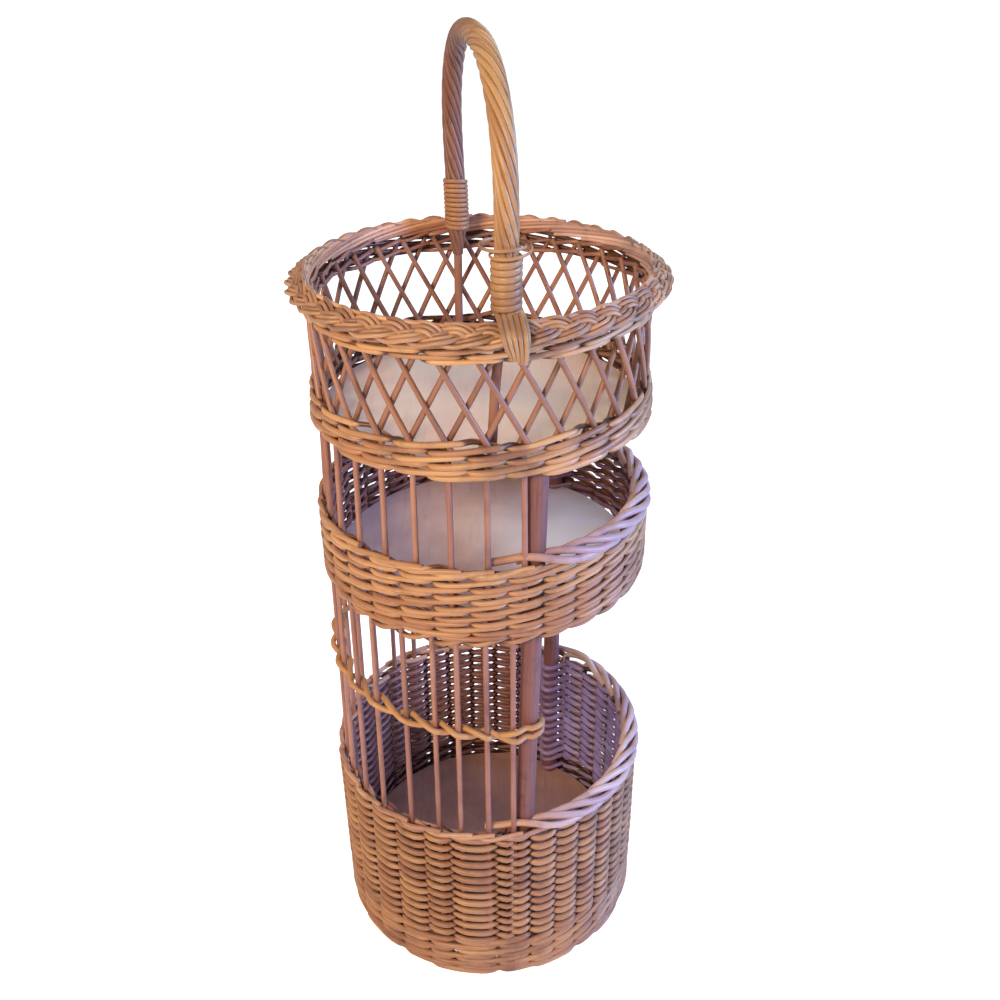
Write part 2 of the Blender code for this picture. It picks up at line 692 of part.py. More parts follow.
def coil(line, foot, turns, pitches, circles):
    """Points of a winding round the handle's line, with a pitch and a radius at each loop's end."""
    angles = np.arange(turns * BINDING_POINTS + 1) * 2 * pi / BINDING_POINTS
    loops = angles / (2 * pi)
    climb = np.interp(loops, np.arange(turns + 1), np.concatenate(([0], np.cumsum(pitches))))
    reach = np.interp(loops, np.arange(turns + 1), circles)
    places, outward, sideways = handle_frame(line, foot + climb)
    spokes = np.cos(angles)[:, None] * outward + np.sin(angles)[:, None] * sideways
    return places + reach[:, None] * spokes


def height_to_length(line, height, from_end):
    """Distance along the handle's line at which a leg passes a height."""
    travelled = distances_along(line)
    half = len(line) // 2
    if from_end:
        return float(np.interp(-height, -line[half:, 2], travelled[half:]))
    return float(np.interp(height, line[:half, 2], travelled[:half]))


def least_gap(points, radius, skip):
    """Least free gap between stretches of one tube that lie at least skip points apart."""
    starts = points[:-1]
    middles = (points[:-1] + points[1:]) / 2
    cloud = np.concatenate((starts, middles))
    order = np.concatenate((np.arange(len(starts)), np.arange(len(middles)) + 0.5))
    spans = np.linalg.norm(cloud[:, None] - cloud[None], axis=2)
    spans[np.abs(order[:, None] - order[None]) < skip] = np.inf
    return float(spans.min() - 2 * radius)


def build_bindings(line, collection):
    """The two bindings, each one unbroken rod wound round the handle's foot."""
    front_turns = FRONT_TIGHT_LOOPS + FRONT_LOOSE_LOOPS + 1
    pitches = [BINDING_PITCH] * FRONT_TIGHT_LOOPS + [LOOSE_PITCH] * (FRONT_LOOSE_LOOPS + 1)
    circles = [BINDING_CIRCLE] * (FRONT_TIGHT_LOOPS + 1)
    circles += [BINDING_CIRCLE + LOOSE_SLACK] * (FRONT_LOOSE_LOOPS + 1)
    front_foot = height_to_length(line, FRONT_BINDING_FOOT, False)
    front = coil(line, front_foot, front_turns, pitches, circles)
    wide = np.arange(len(front)) - (front_turns - 1) * BINDING_POINTS
    share = np.clip(wide / BINDING_POINTS, 0, 1)
    middle = points_along(line, front_foot + sum(pitches))
    away = front - middle
    away[:, 2] = 0
    away /= np.linalg.norm(away, axis=1)[:, None]
    front = front + away * (WIDE_LOOP_REACH * np.sin(pi * share) ** 2)[:, None]
    radial = np.array(tuple(polar(1, HANDLE_FRONT_AZIMUTH, 0)))
    across = np.array(tuple(polar(1, HANDLE_FRONT_AZIMUTH + 90, 0)))
    steps = np.arange(1, TAIL_POINTS + 1) / TAIL_POINTS
    curl = TAIL_CURL_SHARE * (steps ** 2)[:, None] * radial
    tail = front[-1] + TAIL_LENGTH * (steps[:, None] * across - curl)
    front = np.concatenate((front, tail))
    back_foot = height_to_length(line, BACK_BINDING_FOOT, True)
    back_pitches = [-BINDING_PITCH] * BACK_LOOPS
    back_circles = [BINDING_CIRCLE] * (BACK_LOOPS + 1)
    back = coil(line, back_foot, BACK_LOOPS, back_pitches, back_circles)
    for name, points in (("front_binding", front), ("back_binding", back)):
        rod(name, [Vector(point) for point in points], BINDING_RADIUS, "golden_willow", collection)
        gap = least_gap(points, BINDING_RADIUS, BINDING_POINTS / 2)
        print(f"{name}: least gap to itself {gap * 1000:.2f} mm")


def stick_place(line, height):
    """Point of a straight stick's middle line at a height."""
    foot, head, _, _ = line
    return foot + (head - foot) * ((height - foot.z) / (head.z - foot.z))


def twine_points():
    """Points of the guard band: one rod, doubled round the front post and twined about the stakes."""
    azimuths = basket_stake_azimuths()
    slope = (TWINE_BACK_HEIGHT - TWINE_FRONT_HEIGHT) / (azimuths[0] - azimuths[-1])
    offset = STAKE_FOOT_RADIUS + TWINE_RADIUS + FIT
    corner = pi * TWINE_LOOP_TURN / (360 * (TWINE_LOOP_POINTS - 1))
    reach = (POST_RADIUS + TWINE_RADIUS + FIT) / cos(corner)

    def pass_points(sense):
        """One pass from the stake beside the front post to past the back post."""
        points = []
        for index, azimuth in enumerate(azimuths):
            height = TWINE_FRONT_HEIGHT + slope * (azimuths[0] - azimuth)
            circle = Vector(stick_place(basket_stake_line(azimuth), height)[:2]).length
            side = sense if index % 2 == 0 else -sense
            points.append(polar(circle + side * offset, azimuth, height))
            if index + 1 < len(azimuths):
                crossing = (azimuth + azimuths[index + 1]) / 2
                points.append(polar(circle, crossing, height + sense * TWINE_CROSSING))
        post = stick_place(post_line(BACK_POST_AZIMUTHS), TWINE_BACK_HEIGHT)
        post_azimuth = azimuth_of(post)
        between = azimuths[-1] + (1 - TWINE_END_SHARE) * (post_azimuth - 360 - azimuths[-1])
        middle = (Vector(post[:2]).length + circle) / 2
        points.append(polar(middle, between, TWINE_BACK_HEIGHT + sense * TWINE_CROSSING))
        turns = TWINE_INNER_TURNS if side < 0 else TWINE_OUTER_TURNS
        for turn in turns:
            points.append(post + polar(reach, post_azimuth + turn, 0))
        return points

    post = stick_place(post_line(FRONT_POST_AZIMUTHS), TWINE_FRONT_HEIGHT)
    loop = []
    for index in range(TWINE_LOOP_POINTS):
        turn = azimuth_of(post) + TWINE_LOOP_TURN * index / (TWINE_LOOP_POINTS - 1)
        loop.append(post + polar(reach, turn, 0))
    return pass_points(1)[::-1] + loop + pass_points(-1)


def build_walls(parts, cutters):
    """The three woven walls, cut for the thin stakes and the posts, and the three floors."""
    basket_sticks = [basket_stake_line(azimuth) for azimuth in basket_stake_azimuths()]
    tray_sticks = [tray_stake_line(azimuth) for azimuth in tray_stake_azimuths()]
    posts = [post_line(azimuths) for azimuths in (FRONT_POST_AZIMUTHS, BACK_POST_AZIMUTHS)]
    basket_cutter = stick_cutter("basket_stake_sockets", basket_sticks, STAKE_SIDES, cutters)
    tray_cutter = stick_cutter("tray_stake_sockets", tray_sticks, STAKE_SIDES, cutters)
    post_cutter = stick_cutter("post_notches", posts, POST_SIDES, cutters)
    columns = basket_columns()
    basket = woven_ring("basket_wall", columns, basket_section(columns), "golden_willow", parts)
    steps = [(here - there) % 360 for here, there in zip(columns, columns[1:] + columns[:1])]
    floor_radius = BASKET_INNER * cos(radians(max(steps) / 2)) - FIT
    board("basket_floor", floor_radius, BASKET_FLOOR - BOARD_THICKNESS, "grey_board", parts)
    columns = tray_columns()
    tray = woven_ring("tray_wall", columns, tray_section(columns), "golden_willow", parts)
    band = woven_ring("top_band", columns, band_section, "golden_willow", parts)
    tray_floor = board("tray_floor", TRAY_BOARD_RADIUS, TRAY_BOARD_FOOT, "grey_board", parts)
    board("top_floor", BAND_BOARD_RADIUS, BAND_BOARD_FOOT, "pale_board", parts)
    for item, tools in ((basket, (basket_cutter, post_cutter)),
                        (tray, (basket_cutter, tray_cutter, post_cutter)),
                        (band, (tray_cutter, post_cutter)),
                        (tray_floor, (post_cutter,))):
        for tool in tools:
            combine(item, tool, "DIFFERENCE")
    for index, line in enumerate(basket_sticks):
        stick(f"basket_stake_{index + 1:02d}", *line, STAKE_SIDES, "brown_willow", parts)
    for index, line in enumerate(tray_sticks):
        stick(f"tray_stake_{index + 1:02d}", *line, STAKE_SIDES, "brown_willow", parts)
    for name, line in zip(("front_post", "back_post"), posts):
        stick(name, *line, POST_SIDES, "rosy_post", parts)


def main():
    """Build every part."""
    clear_scene()
    parts = make_collection("tiered_bamboo_food_basket")
    cutters = make_collection("cutters")
    build_walls(parts, cutters)
    build_lattice(parts, cutters)
    for strand in range(PLAIT_STRANDS):
        name = f"plait_strand_{strand + 1}"
        rod(name, plait_points(strand), PLAIT_STRAND_RADIUS, "golden_willow", parts, closed=True)
    line = build_handle(parts)
    build_bindings(line, parts)
    rod("guard_twine", twine_points(), TWINE_RADIUS, "golden_willow", parts, resolution=0)


main()
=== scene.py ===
"""Looks of the three-tier willow basket stand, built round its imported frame.

Every woven part is made of round rods that follow the weaver's own routes: randed and waled rows, rolled
borders, a lattice, a plait of three strands and a twisted bow handle. Units are metres, azimuths are degrees
about the stand's axis from +X, and +Z is up.
"""

import json
import logging
from dataclasses import dataclass, field, replace
from enum import Enum
from functools import cache

import bpy
import numpy as np
from mathutils import Matrix, Vector

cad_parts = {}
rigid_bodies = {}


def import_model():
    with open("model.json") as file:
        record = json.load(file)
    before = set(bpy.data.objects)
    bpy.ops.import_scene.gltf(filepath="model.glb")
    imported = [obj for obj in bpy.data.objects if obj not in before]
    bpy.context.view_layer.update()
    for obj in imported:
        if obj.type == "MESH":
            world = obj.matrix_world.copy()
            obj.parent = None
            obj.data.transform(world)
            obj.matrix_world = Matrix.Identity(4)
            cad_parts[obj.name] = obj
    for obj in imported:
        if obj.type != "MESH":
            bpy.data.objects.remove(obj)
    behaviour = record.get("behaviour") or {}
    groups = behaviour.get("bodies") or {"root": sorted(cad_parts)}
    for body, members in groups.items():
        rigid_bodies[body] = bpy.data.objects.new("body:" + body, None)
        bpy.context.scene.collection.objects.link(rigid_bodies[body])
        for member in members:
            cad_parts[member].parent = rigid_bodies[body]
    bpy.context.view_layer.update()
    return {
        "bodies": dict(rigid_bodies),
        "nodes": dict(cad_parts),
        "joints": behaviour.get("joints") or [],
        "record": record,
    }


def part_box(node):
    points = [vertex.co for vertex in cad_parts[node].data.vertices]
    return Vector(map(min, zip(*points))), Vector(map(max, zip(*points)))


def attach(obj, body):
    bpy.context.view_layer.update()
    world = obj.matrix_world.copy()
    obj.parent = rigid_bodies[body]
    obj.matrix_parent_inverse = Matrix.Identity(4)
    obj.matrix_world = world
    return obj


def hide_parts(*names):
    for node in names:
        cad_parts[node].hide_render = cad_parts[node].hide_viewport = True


Array = np.ndarray
Random = np.random.Generator
Socket = bpy.types.NodeSocket
Material = bpy.types.Material
Value = Socket | float | tuple[float, ...]
Colour = tuple[int, int, int]
Light = tuple[float, float, float]
Route = tuple[tuple[float, float, float], ...]
LOG = logging.getLogger("basket_stand")
SEED = 20
SHARP_ANGLE = 75.0
MERGE_DIGITS = 5
WAVES = ((2, 0.5), (5, 0.3), (11, 0.2))
UP = np.array((0.0, 0.0, 1.0))


class Slot(Enum):
    """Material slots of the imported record."""

    GOLDEN = "golden_willow"
    BROWN = "brown_willow"
    POST = "rosy_post"
    PALE = "pale_board"
    GREY = "grey_board"


class Layer(Enum):
    """Names of the mesh layers that the finishes read."""

    UV = "rod"
    TONE = "tone"
    CUT = "cut"


class Blend(Enum):
    """How one colour goes over another."""

    MIX = "MIX"
    MULTIPLY = "MULTIPLY"


def cylindrical(radius: Array | float, azimuth: Array | float, height: Array | float) -> Array:
    """Points from cylindrical coordinates.

    Args:
        radius: distances from the axis.
        azimuth: azimuths in degrees.
        height: heights above the floor.

    Returns:
        Points, one more axis than the inputs.
    """
    angle = np.radians(azimuth)
    x, y, z = np.broadcast_arrays(radius * np.cos(angle), radius * np.sin(angle), height)
    return np.stack((x, y, z), axis=-1)


def outward(azimuth: Array | float) -> Array:
    """Unit vectors that point away from the axis at azimuths in degrees."""
    return cylindrical(np.ones_like(azimuth), azimuth, np.zeros_like(azimuth))


def unit(vectors: Array) -> Array:
    """Vectors of length one along the given ones."""
    return vectors / np.linalg.norm(vectors, axis=-1, keepdims=True)


def hump(azimuth: Array, centre: float, reach: float) -> Array:
    """A squared cosine of the azimuth: 1 at a centre, and 0 from reach degrees away from it."""
    off = (azimuth - centre + 180) % 360 - 180
    return np.cos(np.pi / 2 * np.clip(off / reach, -1, 1)) ** 2


def smooth_route(stops: Array, steps: int) -> Array:
    """A Catmull-Rom curve through given stops.

    Args:
        stops: points or coordinates, (..., stops, values).
        steps: points for each span between two stops.

    Returns:
        The curve's points, (..., (stops - 1) * steps + 1, values).
    """
    first = 2 * stops[..., :1, :] - stops[..., 1:2, :]
    last = 2 * stops[..., -1:, :] - stops[..., -2:-1, :]
    padded = np.concatenate((first, stops, last), axis=-2)
    before, start, end, after = (padded[..., i:padded.shape[-2] - 3 + i, None, :] for i in range(4))
    t = (np.arange(steps) / steps)[:, None]
    curve = 0.5 * (2 * start + (end - before) * t + (2 * before - 5 * start + 4 * end - after) * t ** 2
                   + (3 * start - before - 3 * end + after) * t ** 3)
    flat = curve.reshape(*stops.shape[:-2], -1, stops.shape[-1])
    return np.concatenate((flat, stops[..., -1:, :]), axis=-2)


@dataclass
class Rods:
    """A batch of rods with equally many points each.

    A rod's skin is a circle carried along its path. At each point the circle lies across the tangent t, on
    the axes b = t x reference and n = b x t, so it never twists while the reference stays off the tangent.
    """

    paths: Array
    radii: Array
    reference: Array
    sides: int = 8
    closed: bool = False
    flatness: float = 1.0

    def skin(self) -> Array:
        """Corners of every ring: path + radius * (cos(a) * n + flatness * sin(a) * b).

        Returns:
            Points, (rods, points, sides, 3).
        """
        if self.closed:
            tangents = unit(np.roll(self.paths, -1, axis=1) - np.roll(self.paths, 1, axis=1))
        else:
            tangents = unit(np.gradient(self.paths, axis=1))
        across = unit(np.cross(tangents, np.broadcast_to(self.reference, self.paths.shape)))
        upright = np.cross(across, tangents)
        angle = 2 * np.pi * np.arange(self.sides) / self.sides
        ring = (np.cos(angle)[:, None] * upright[:, :, None]
                + self.flatness * np.sin(angle)[:, None] * across[:, :, None])
        radii = np.broadcast_to(self.radii, self.paths.shape[:2])
        return self.paths[:, :, None] + radii[:, :, None, None] * ring

    def lengths(self) -> Array:
        """Distance along each rod at each point, the sum of the straight steps before it.

        Returns:
            Distances, (rods, points), with one more for the way back to the start of a closed rod.
        """
        points = np.concatenate((self.paths, self.paths[:, :1]), axis=1) if self.closed else self.paths
        steps = np.linalg.norm(np.diff(points, axis=1), axis=2)
        return np.concatenate((np.zeros((len(steps), 1)), np.cumsum(steps, axis=1)), axis=1)

    def faces(self) -> tuple[Array, Array, Array]:
        """Corners and UVs of the skin's quads, and the corners of the end caps.

        Returns:
            Vertex indices of the quads (faces, 4), their UVs (faces, 4, 2) with the length along the rod
            and the share of a turn round it, and vertex indices of the caps (caps, sides).
        """
        count, points = self.paths.shape[:2]
        spans = points if self.closed else points - 1
        rod, span, side = np.indices((count, spans, self.sides))
        turned = (side + 1) % self.sides
        here = (rod * points + span) * self.sides
        ahead = (rod * points + (span + 1) % points) * self.sides
        corners = np.stack((here + side, here + turned, ahead + turned, ahead + side), axis=-1)
        lengths = self.lengths()
        start, end = lengths[rod, span], lengths[rod, span + 1]
        low, high = side / self.sides, (side + 1) / self.sides
        uvs = np.stack((start, low, start, high, end, high, end, low), axis=-1)
        ring = np.arange(self.sides)
        first = np.arange(0 if self.closed else count)[:, None] * points * self.sides
        caps = np.concatenate((first + ring[::-1], first + (points - 1) * self.sides + ring))
        return corners.reshape(-1, 4), uvs.reshape(-1, 4, 2), caps


def rods_mesh(name: str, batches: list[Rods], rng: Random) -> bpy.types.Mesh:
    """One mesh of all the rods, with the layers that the willow finishes read.

    Args:
        name: the mesh's name.
        batches: the rods.
        rng: source of each rod's own tone.

    Returns:
        The mesh, smooth along the rods and sharp at their cut ends.
    """
    vertices, corners, sizes, uvs, tones, cuts = [], [], [], [], [], []
    offset = 0
    for rods in batches:
        skin = rods.skin().reshape(-1, 3)
        quads, quad_uvs, caps = rods.faces()
        vertices.append(skin)
        corners += [(quads + offset).ravel(), (caps + offset).ravel()]
        sizes += [np.full(len(quads), 4), np.full(len(caps), rods.sides)]
        uvs += [quad_uvs.reshape(-1, 2), np.zeros((caps.size, 2))]
        tones.append(np.repeat(rng.random(len(rods.paths)), rods.paths.shape[1] * rods.sides))
        cuts += [np.zeros(len(quads)), np.ones(len(caps))]
        offset += len(skin)
    counts = np.concatenate(sizes)
    mesh = bpy.data.meshes.new(name)
    mesh.vertices.add(offset)
    mesh.vertices.foreach_set("co", np.concatenate(vertices).astype(np.float32).ravel())
    mesh.loops.add(int(counts.sum()))
    mesh.loops.foreach_set("vertex_index", np.concatenate(corners).astype(np.int32))
    mesh.polygons.add(len(counts))
    mesh.polygons.foreach_set("loop_start", (np.cumsum(counts) - counts).astype(np.int32))
    mesh.polygons.foreach_set("use_smooth", np.ones(len(counts), dtype=bool))
    mesh.update(calc_edges=True)
    layer = mesh.uv_layers.new(name=Layer.UV.value)
    layer.data.foreach_set("uv", np.concatenate(uvs).astype(np.float32).ravel())
    tone = mesh.attributes.new(Layer.TONE.value, "FLOAT", "POINT")
    tone.data.foreach_set("value", np.concatenate(tones).astype(np.float32))
    cut = mesh.attributes.new(Layer.CUT.value, "FLOAT", "FACE")
    cut.data.foreach_set("value", np.concatenate(cuts).astype(np.float32))
    mesh.set_sharp_from_angle(angle=np.radians(SHARP_ANGLE))
    return mesh


def add_piece(mesh: bpy.types.Mesh, material: Material, slot: Slot, *nodes: str) -> None:
    """Add a mesh to the scene as a piece that stands for frame nodes, under the mesh's name.

    Args:
        mesh: its mesh, in place.
        material: its finish.
        slot: the record's material slot it belongs to; not used.
        nodes: the frame nodes it replaces.
    """
    piece = bpy.data.objects.new(mesh.name, mesh)
    mesh.materials.append(material)
    bpy.context.scene.collection.objects.link(piece)
    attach(piece, "root")
    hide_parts(*nodes)
    LOG.info("%s: %d faces", piece.name, len(mesh.polygons))


def srgb(colour: Colour) -> tuple[float, float, float, float]:
    """Turn an 8-bit sRGB colour into the colour that a shader takes, by the standard's own curve.

    Args:
        colour: red, green and blue from 0 to 255.

    Returns:
        Linear red, green and blue, and an alpha of 1.
    """
    share = np.array(colour) / 255
    linear = np.where(share <= 0.04045, share / 12.92, ((share + 0.055) / 1.055) ** 2.4)
    return (*linear.tolist(), 1.0)


@dataclass(frozen=True)
class Noise:
    """A noise pattern: its scale, how many finer layers it has and how strong they are."""

    scale: float
    detail: float
    roughness: float = 0.5


@dataclass(frozen=True)
class Stain:
    """Where a pattern colours a body: not at all up to low, and by share from high on."""

    low: float
    high: float
    share: float = 1.0


class Graph:
    """The nodes of a material or a world, with short calls for those that the finishes use."""

    def __init__(self, owner: Material | bpy.types.World, shader: str = "Principled BSDF") -> None:
        """Give a material or a world its nodes.

        Args:
            owner: the material or world.
            shader: name of the shader that it starts with.
        """
        owner.use_nodes = True
        self.owner = owner
        self.tree = owner.node_tree
        self.shader = self.tree.nodes[shader]

    def link(self, value: Value, socket: Socket) -> None:
        """Feed a socket.

        Args:
            value: another socket, or the value to set.
            socket: the socket.
        """
        if isinstance(value, Socket):
            self.tree.links.new(value, socket)
        else:
            socket.default_value = value

    def node(self, kind: str, feeds: dict[str | int, Value]) -> bpy.types.Node:
        """Add a node.

        Args:
            kind: the node's type.
            feeds: sockets or values for its inputs, by name or by index.

        Returns:
            The node.
        """
        node = self.tree.nodes.new(kind)
        for key, value in feeds.items():
            self.link(value, node.inputs[key])
        return node

    def math(self, operation: str, first: Value, second: Value = 0.0) -> Socket:
        """Work out a Math node.

        Args:
            operation: the node's operation.
            first: its first socket or number.
            second: its second socket or number.

        Returns:
            The result.
        """
        node = self.node("ShaderNodeMath", {0: first, 1: second})
        node.operation = operation
        return node.outputs[0]

    def times(self, first: Value, second: Value) -> Socket:
        """The product of two sockets or numbers."""
        return self.math("MULTIPLY", first, second)

    def plus(self, first: Value, second: Value) -> Socket:
        """The sum of two sockets or numbers."""
        return self.math("ADD", first, second)

    def minus(self, first: Value, second: Value) -> Socket:
        """The first socket or number less the second."""
        return self.math("SUBTRACT", first, second)

    def vector(self, x: Value, y: Value, z: Value) -> Socket:
        """A vector from three sockets or numbers."""
        return self.node("ShaderNodeCombineXYZ", {0: x, 1: y, 2: z}).outputs[0]

    def noise(self, vector: Socket, noise: Noise) -> Socket:
        """Noise from 0 to 1 on a vector."""
        feeds = {"Vector": vector, "Scale": noise.scale, "Detail": noise.detail, "Roughness": noise.roughness}
        return self.node("ShaderNodeTexNoise", feeds).outputs["Fac"]

    def ramp(self, value: Socket, low: float, high: float) -> Socket:
        """A smooth step.

        Args:
            value: what it reads.
            low: the value up to which it is 0.
            high: the value from which it is 1.

        Returns:
            The step.
        """
        node = self.node("ShaderNodeMapRange", {"Value": value, "From Min": low, "From Max": high})
        node.interpolation_type = "SMOOTHSTEP"
        return node.outputs["Result"]

    def mix(self, share: Value, first: Value, second: Value, blend: Blend = Blend.MIX) -> Socket:
        """Put a second colour over a first one.

        Args:
            share: how much the second one shows, from 0 to 1.
            first: the colour below.
            second: the colour above.
            blend: how it goes over the first.

        Returns:
            The colour of both.
        """
        node = self.tree.nodes.new("ShaderNodeMix")
        node.data_type = "RGBA"
        node.blend_type = blend.value
        inputs = {socket.identifier: socket for socket in node.inputs}
        self.link(share, node.inputs["Factor"])
        self.link(first, inputs["A_Color"])
        self.link(second, inputs["B_Color"])
        return [socket for socket in node.outputs if socket.type == "RGBA"][0]

    def tint(self, share: Value, body: Socket, colour: Value) -> Socket:
        """A body multiplied by a colour, by a share."""
        return self.mix(share, body, colour, Blend.MULTIPLY)

    def stain(self, body: Socket, pattern: Socket, stain: Stain, colour: Colour) -> Socket:
        """A body with a colour where a pattern is strong."""
        share = self.times(self.ramp(pattern, stain.low, stain.high), stain.share)
        return self.mix(share, body, srgb(colour))

    def place(self) -> Socket:
        """The point in the object's own coordinates."""
        return self.node("ShaderNodeTexCoord", {}).outputs["Object"]

    def axis(self, index: int) -> Socket:
        """One of the point's own coordinates."""
        return self.node("ShaderNodeSeparateXYZ", {0: self.place()}).outputs[index]

    def distance(self, centre: tuple[float, float] = (0.0, 0.0)) -> Socket:
        """The point's level distance from a centre, the root of the sum of two squares.

        Args:
            centre: its x and y.

        Returns:
            The distance.
        """
        x = self.minus(self.axis(0), centre[0])
        y = self.minus(self.axis(1), centre[1])
        return self.math("SQRT", self.plus(self.times(x, x), self.times(y, y)))

    def attribute(self, layer: Layer) -> Socket:
        """Read one of the mesh's layers.

        Args:
            layer: the layer.

        Returns:
            Its value.
        """
        node = self.node("ShaderNodeAttribute", {})
        node.attribute_name = layer.value
        return node.outputs["Fac"]

    def along_rod(self) -> tuple[Socket, Socket, Socket]:
        """Where the point lies on its rod.

        Returns:
            Length along the rod, and the sine and cosine of the turn round it.
        """
        uv = self.node("ShaderNodeUVMap", {})
        uv.uv_map = Layer.UV.value
        split = self.node("ShaderNodeSeparateXYZ", {0: uv.outputs[0]})
        angle = self.times(split.outputs[1], 2 * np.pi)
        return split.outputs[0], self.math("SINE", angle), self.math("COSINE", angle)

    def bump(self, height: Socket, strength: float, distance: float) -> None:
        """Bump the shader's normal by a height."""
        node = self.node("ShaderNodeBump", {"Height": height, "Strength": strength, "Distance": distance})
        self.link(node.outputs[0], self.shader.inputs["Normal"])

    def dress(self, colour: Socket, roughness: Socket) -> None:
        """Feed the shader's colour and roughness."""
        self.link(colour, self.shader.inputs["Base Color"])
        self.link(roughness, self.shader.inputs["Roughness"])


@dataclass(frozen=True)
class PaintedInsideShadeAndLight:
    """Painted shade on the rods' side within a circle, and there painted bluish light on the stand's right.

    The painted shade fades out round the circle, and the painted light rises with x over its own range.
    """

    colour: Colour
    circle: float
    # linear tint of the painted bluish light on the stand's right
    right: Light | None = None
    fade_inside: float = 0.004
    fade_outside: float = 0.003
    painted_light_range: tuple[float, float] = (0.02, 0.09)

    def over(self, graph: Graph, body: Socket) -> Socket:
        """Put the painted shade and the painted light over a body colour.

        Args:
            graph: the material's nodes.
            body: the colour.

        Returns:
            The tinted colour.
        """
        low, high = self.circle - self.fade_inside, self.circle + self.fade_outside
        # painted shade: the rods' inner side is darkened and tinted lilac where the stand shades it
        inside = graph.minus(1.0, graph.ramp(graph.distance(), low, high))
        body = graph.tint(inside, body, srgb(self.colour))
        if self.right:
            # painted light: a bluish tint on the stand's right, in place of cool side light
            right = graph.times(graph.ramp(graph.axis(0), *self.painted_light_range), inside)
            body = graph.tint(right, body, (*self.right, 1.0))
        return body


@dataclass(frozen=True)
class PaintedRecessShade:
    """Painted shade on the rods where they pass behind each other, in a thin ring about a circle."""

    colour: Colour
    circle: float
    reach: float = 0.0045
    inner_core: float = 0.0020
    outer_core: float = 0.0018

    def over(self, graph: Graph, body: Socket) -> Socket:
        """Put the painted shade over a body colour.

        Args:
            graph: the material's nodes.
            body: the colour.

        Returns:
            The tinted colour.
        """
        # painted shade: a darker ring where the rods pass behind each other and shade each other
        past = graph.ramp(graph.distance(), self.circle - self.reach, self.circle - self.inner_core)
        short = graph.ramp(graph.distance(), self.circle + self.outer_core, self.circle + self.reach)
        return graph.tint(graph.minus(past, short), body, srgb(self.colour))


@dataclass(frozen=True)
class WillowFinish:
    """Round willow rods: each rod has its own tone, fine streaks along it, blotches and small scars.

    The colour goes from pale to middle by tone_share * tone + drift_share * a slow drift along the rod. A
    noise on (length * stretch, sine, cosine) of the turn round the rod gives patterns that run along it.
    The tints paint shade on the rods inside the stand, in the weave's recesses and on the far side, and
    bluish light on the stand's right.
    """

    name: str
    pale: Colour
    middle: Colour
    deep: Colour
    scar: Colour
    end: Colour
    tone_share: float = 0.30
    tone_range: tuple[float, float] = (0.28, 0.86)
    tone_spread: float = 40.0
    drift: Noise = Noise(1.0, 2.0)
    drift_share: float = 0.85
    drift_stretch: float = 5.0
    drift_turn: float = 0.25
    streak: Noise = Noise(1.6, 6.0, 0.65)
    streak_stain: Stain = Stain(0.5, 0.78, 0.6)
    streak_stretch: float = 16.0
    spot: Noise = Noise(1.4, 2.0)
    spot_stain: Stain = Stain(0.70, 0.78, 0.6)
    spot_stretch: float = 90.0
    blotch: Noise = Noise(22.0, 4.0, 0.6)
    blotch_stain: Stain = Stain(0.48, 0.72, 0.55)
    roughness: float = 0.30
    roughness_swing: float = 0.25
    grain_strength: float = 0.5
    grain_depth: float = 0.00025
    # painted shade on the rods' inner side, and painted bluish light on the stand's right
    painted_inside: PaintedInsideShadeAndLight | None = None
    # painted shade in the weave's recesses
    recess_shade: PaintedRecessShade | None = None
    # painted shade on the far side, towards +y
    painted_far_shade: Colour | None = None
    far_range: tuple[float, float] = (-0.06, 0.06)

    @cache
    def material(self) -> Material:
        """Build the finish, once for all pieces that wear it.

        Returns:
            A material that reads the rod's length, turn and tone.
        """
        graph = Graph(bpy.data.materials.new(self.name))
        length, sine, cosine = graph.along_rod()
        tone = graph.attribute(Layer.TONE)
        seed = graph.times(tone, self.tone_spread)
        turn = graph.plus(cosine, seed)
        streak = graph.noise(graph.vector(graph.times(length, self.streak_stretch), sine, turn), self.streak)
        spot = graph.noise(graph.vector(graph.times(length, self.spot_stretch), sine, turn), self.spot)
        slow = graph.vector(graph.times(length, self.drift_stretch), graph.times(sine, self.drift_turn), seed)
        drift = graph.noise(slow, self.drift)
        share = graph.plus(graph.times(tone, self.tone_share), graph.times(drift, self.drift_share))
        body = graph.mix(graph.ramp(share, *self.tone_range), srgb(self.pale), srgb(self.middle))
        body = graph.stain(body, graph.noise(graph.place(), self.blotch), self.blotch_stain, self.deep)
        body = graph.stain(body, streak, self.streak_stain, self.deep)
        body = graph.stain(body, spot, self.spot_stain, self.scar)
        body = graph.mix(graph.attribute(Layer.CUT), self.tinted(graph, body), srgb(self.end))
        graph.dress(body, graph.plus(graph.times(streak, self.roughness_swing), self.roughness))
        scar = graph.ramp(spot, self.spot_stain.low, self.spot_stain.high)
        relief = graph.minus(streak, graph.times(scar, self.spot_stain.share))
        graph.bump(relief, self.grain_strength, self.grain_depth)
        return graph.owner

    def tinted(self, graph: Graph, body: Socket) -> Socket:
        """Paint shade on the rods inside the stand, in the recesses of the weave and on the far side, and
        bluish light on the stand's right.

        Args:
            graph: the material's nodes.
            body: the rods' colour.

        Returns:
            The tinted colour.
        """
        # painted shade inside the stand and in the recesses, and painted bluish light on the right
        for tint in (self.painted_inside, self.recess_shade):
            if tint:
                body = tint.over(graph, body)
        if self.painted_far_shade:
            # painted shade: the rods turn darker and mauve towards the back, which lies in shade
            body = graph.tint(graph.ramp(graph.axis(1), *self.far_range), body, srgb(self.painted_far_shade))
        return body


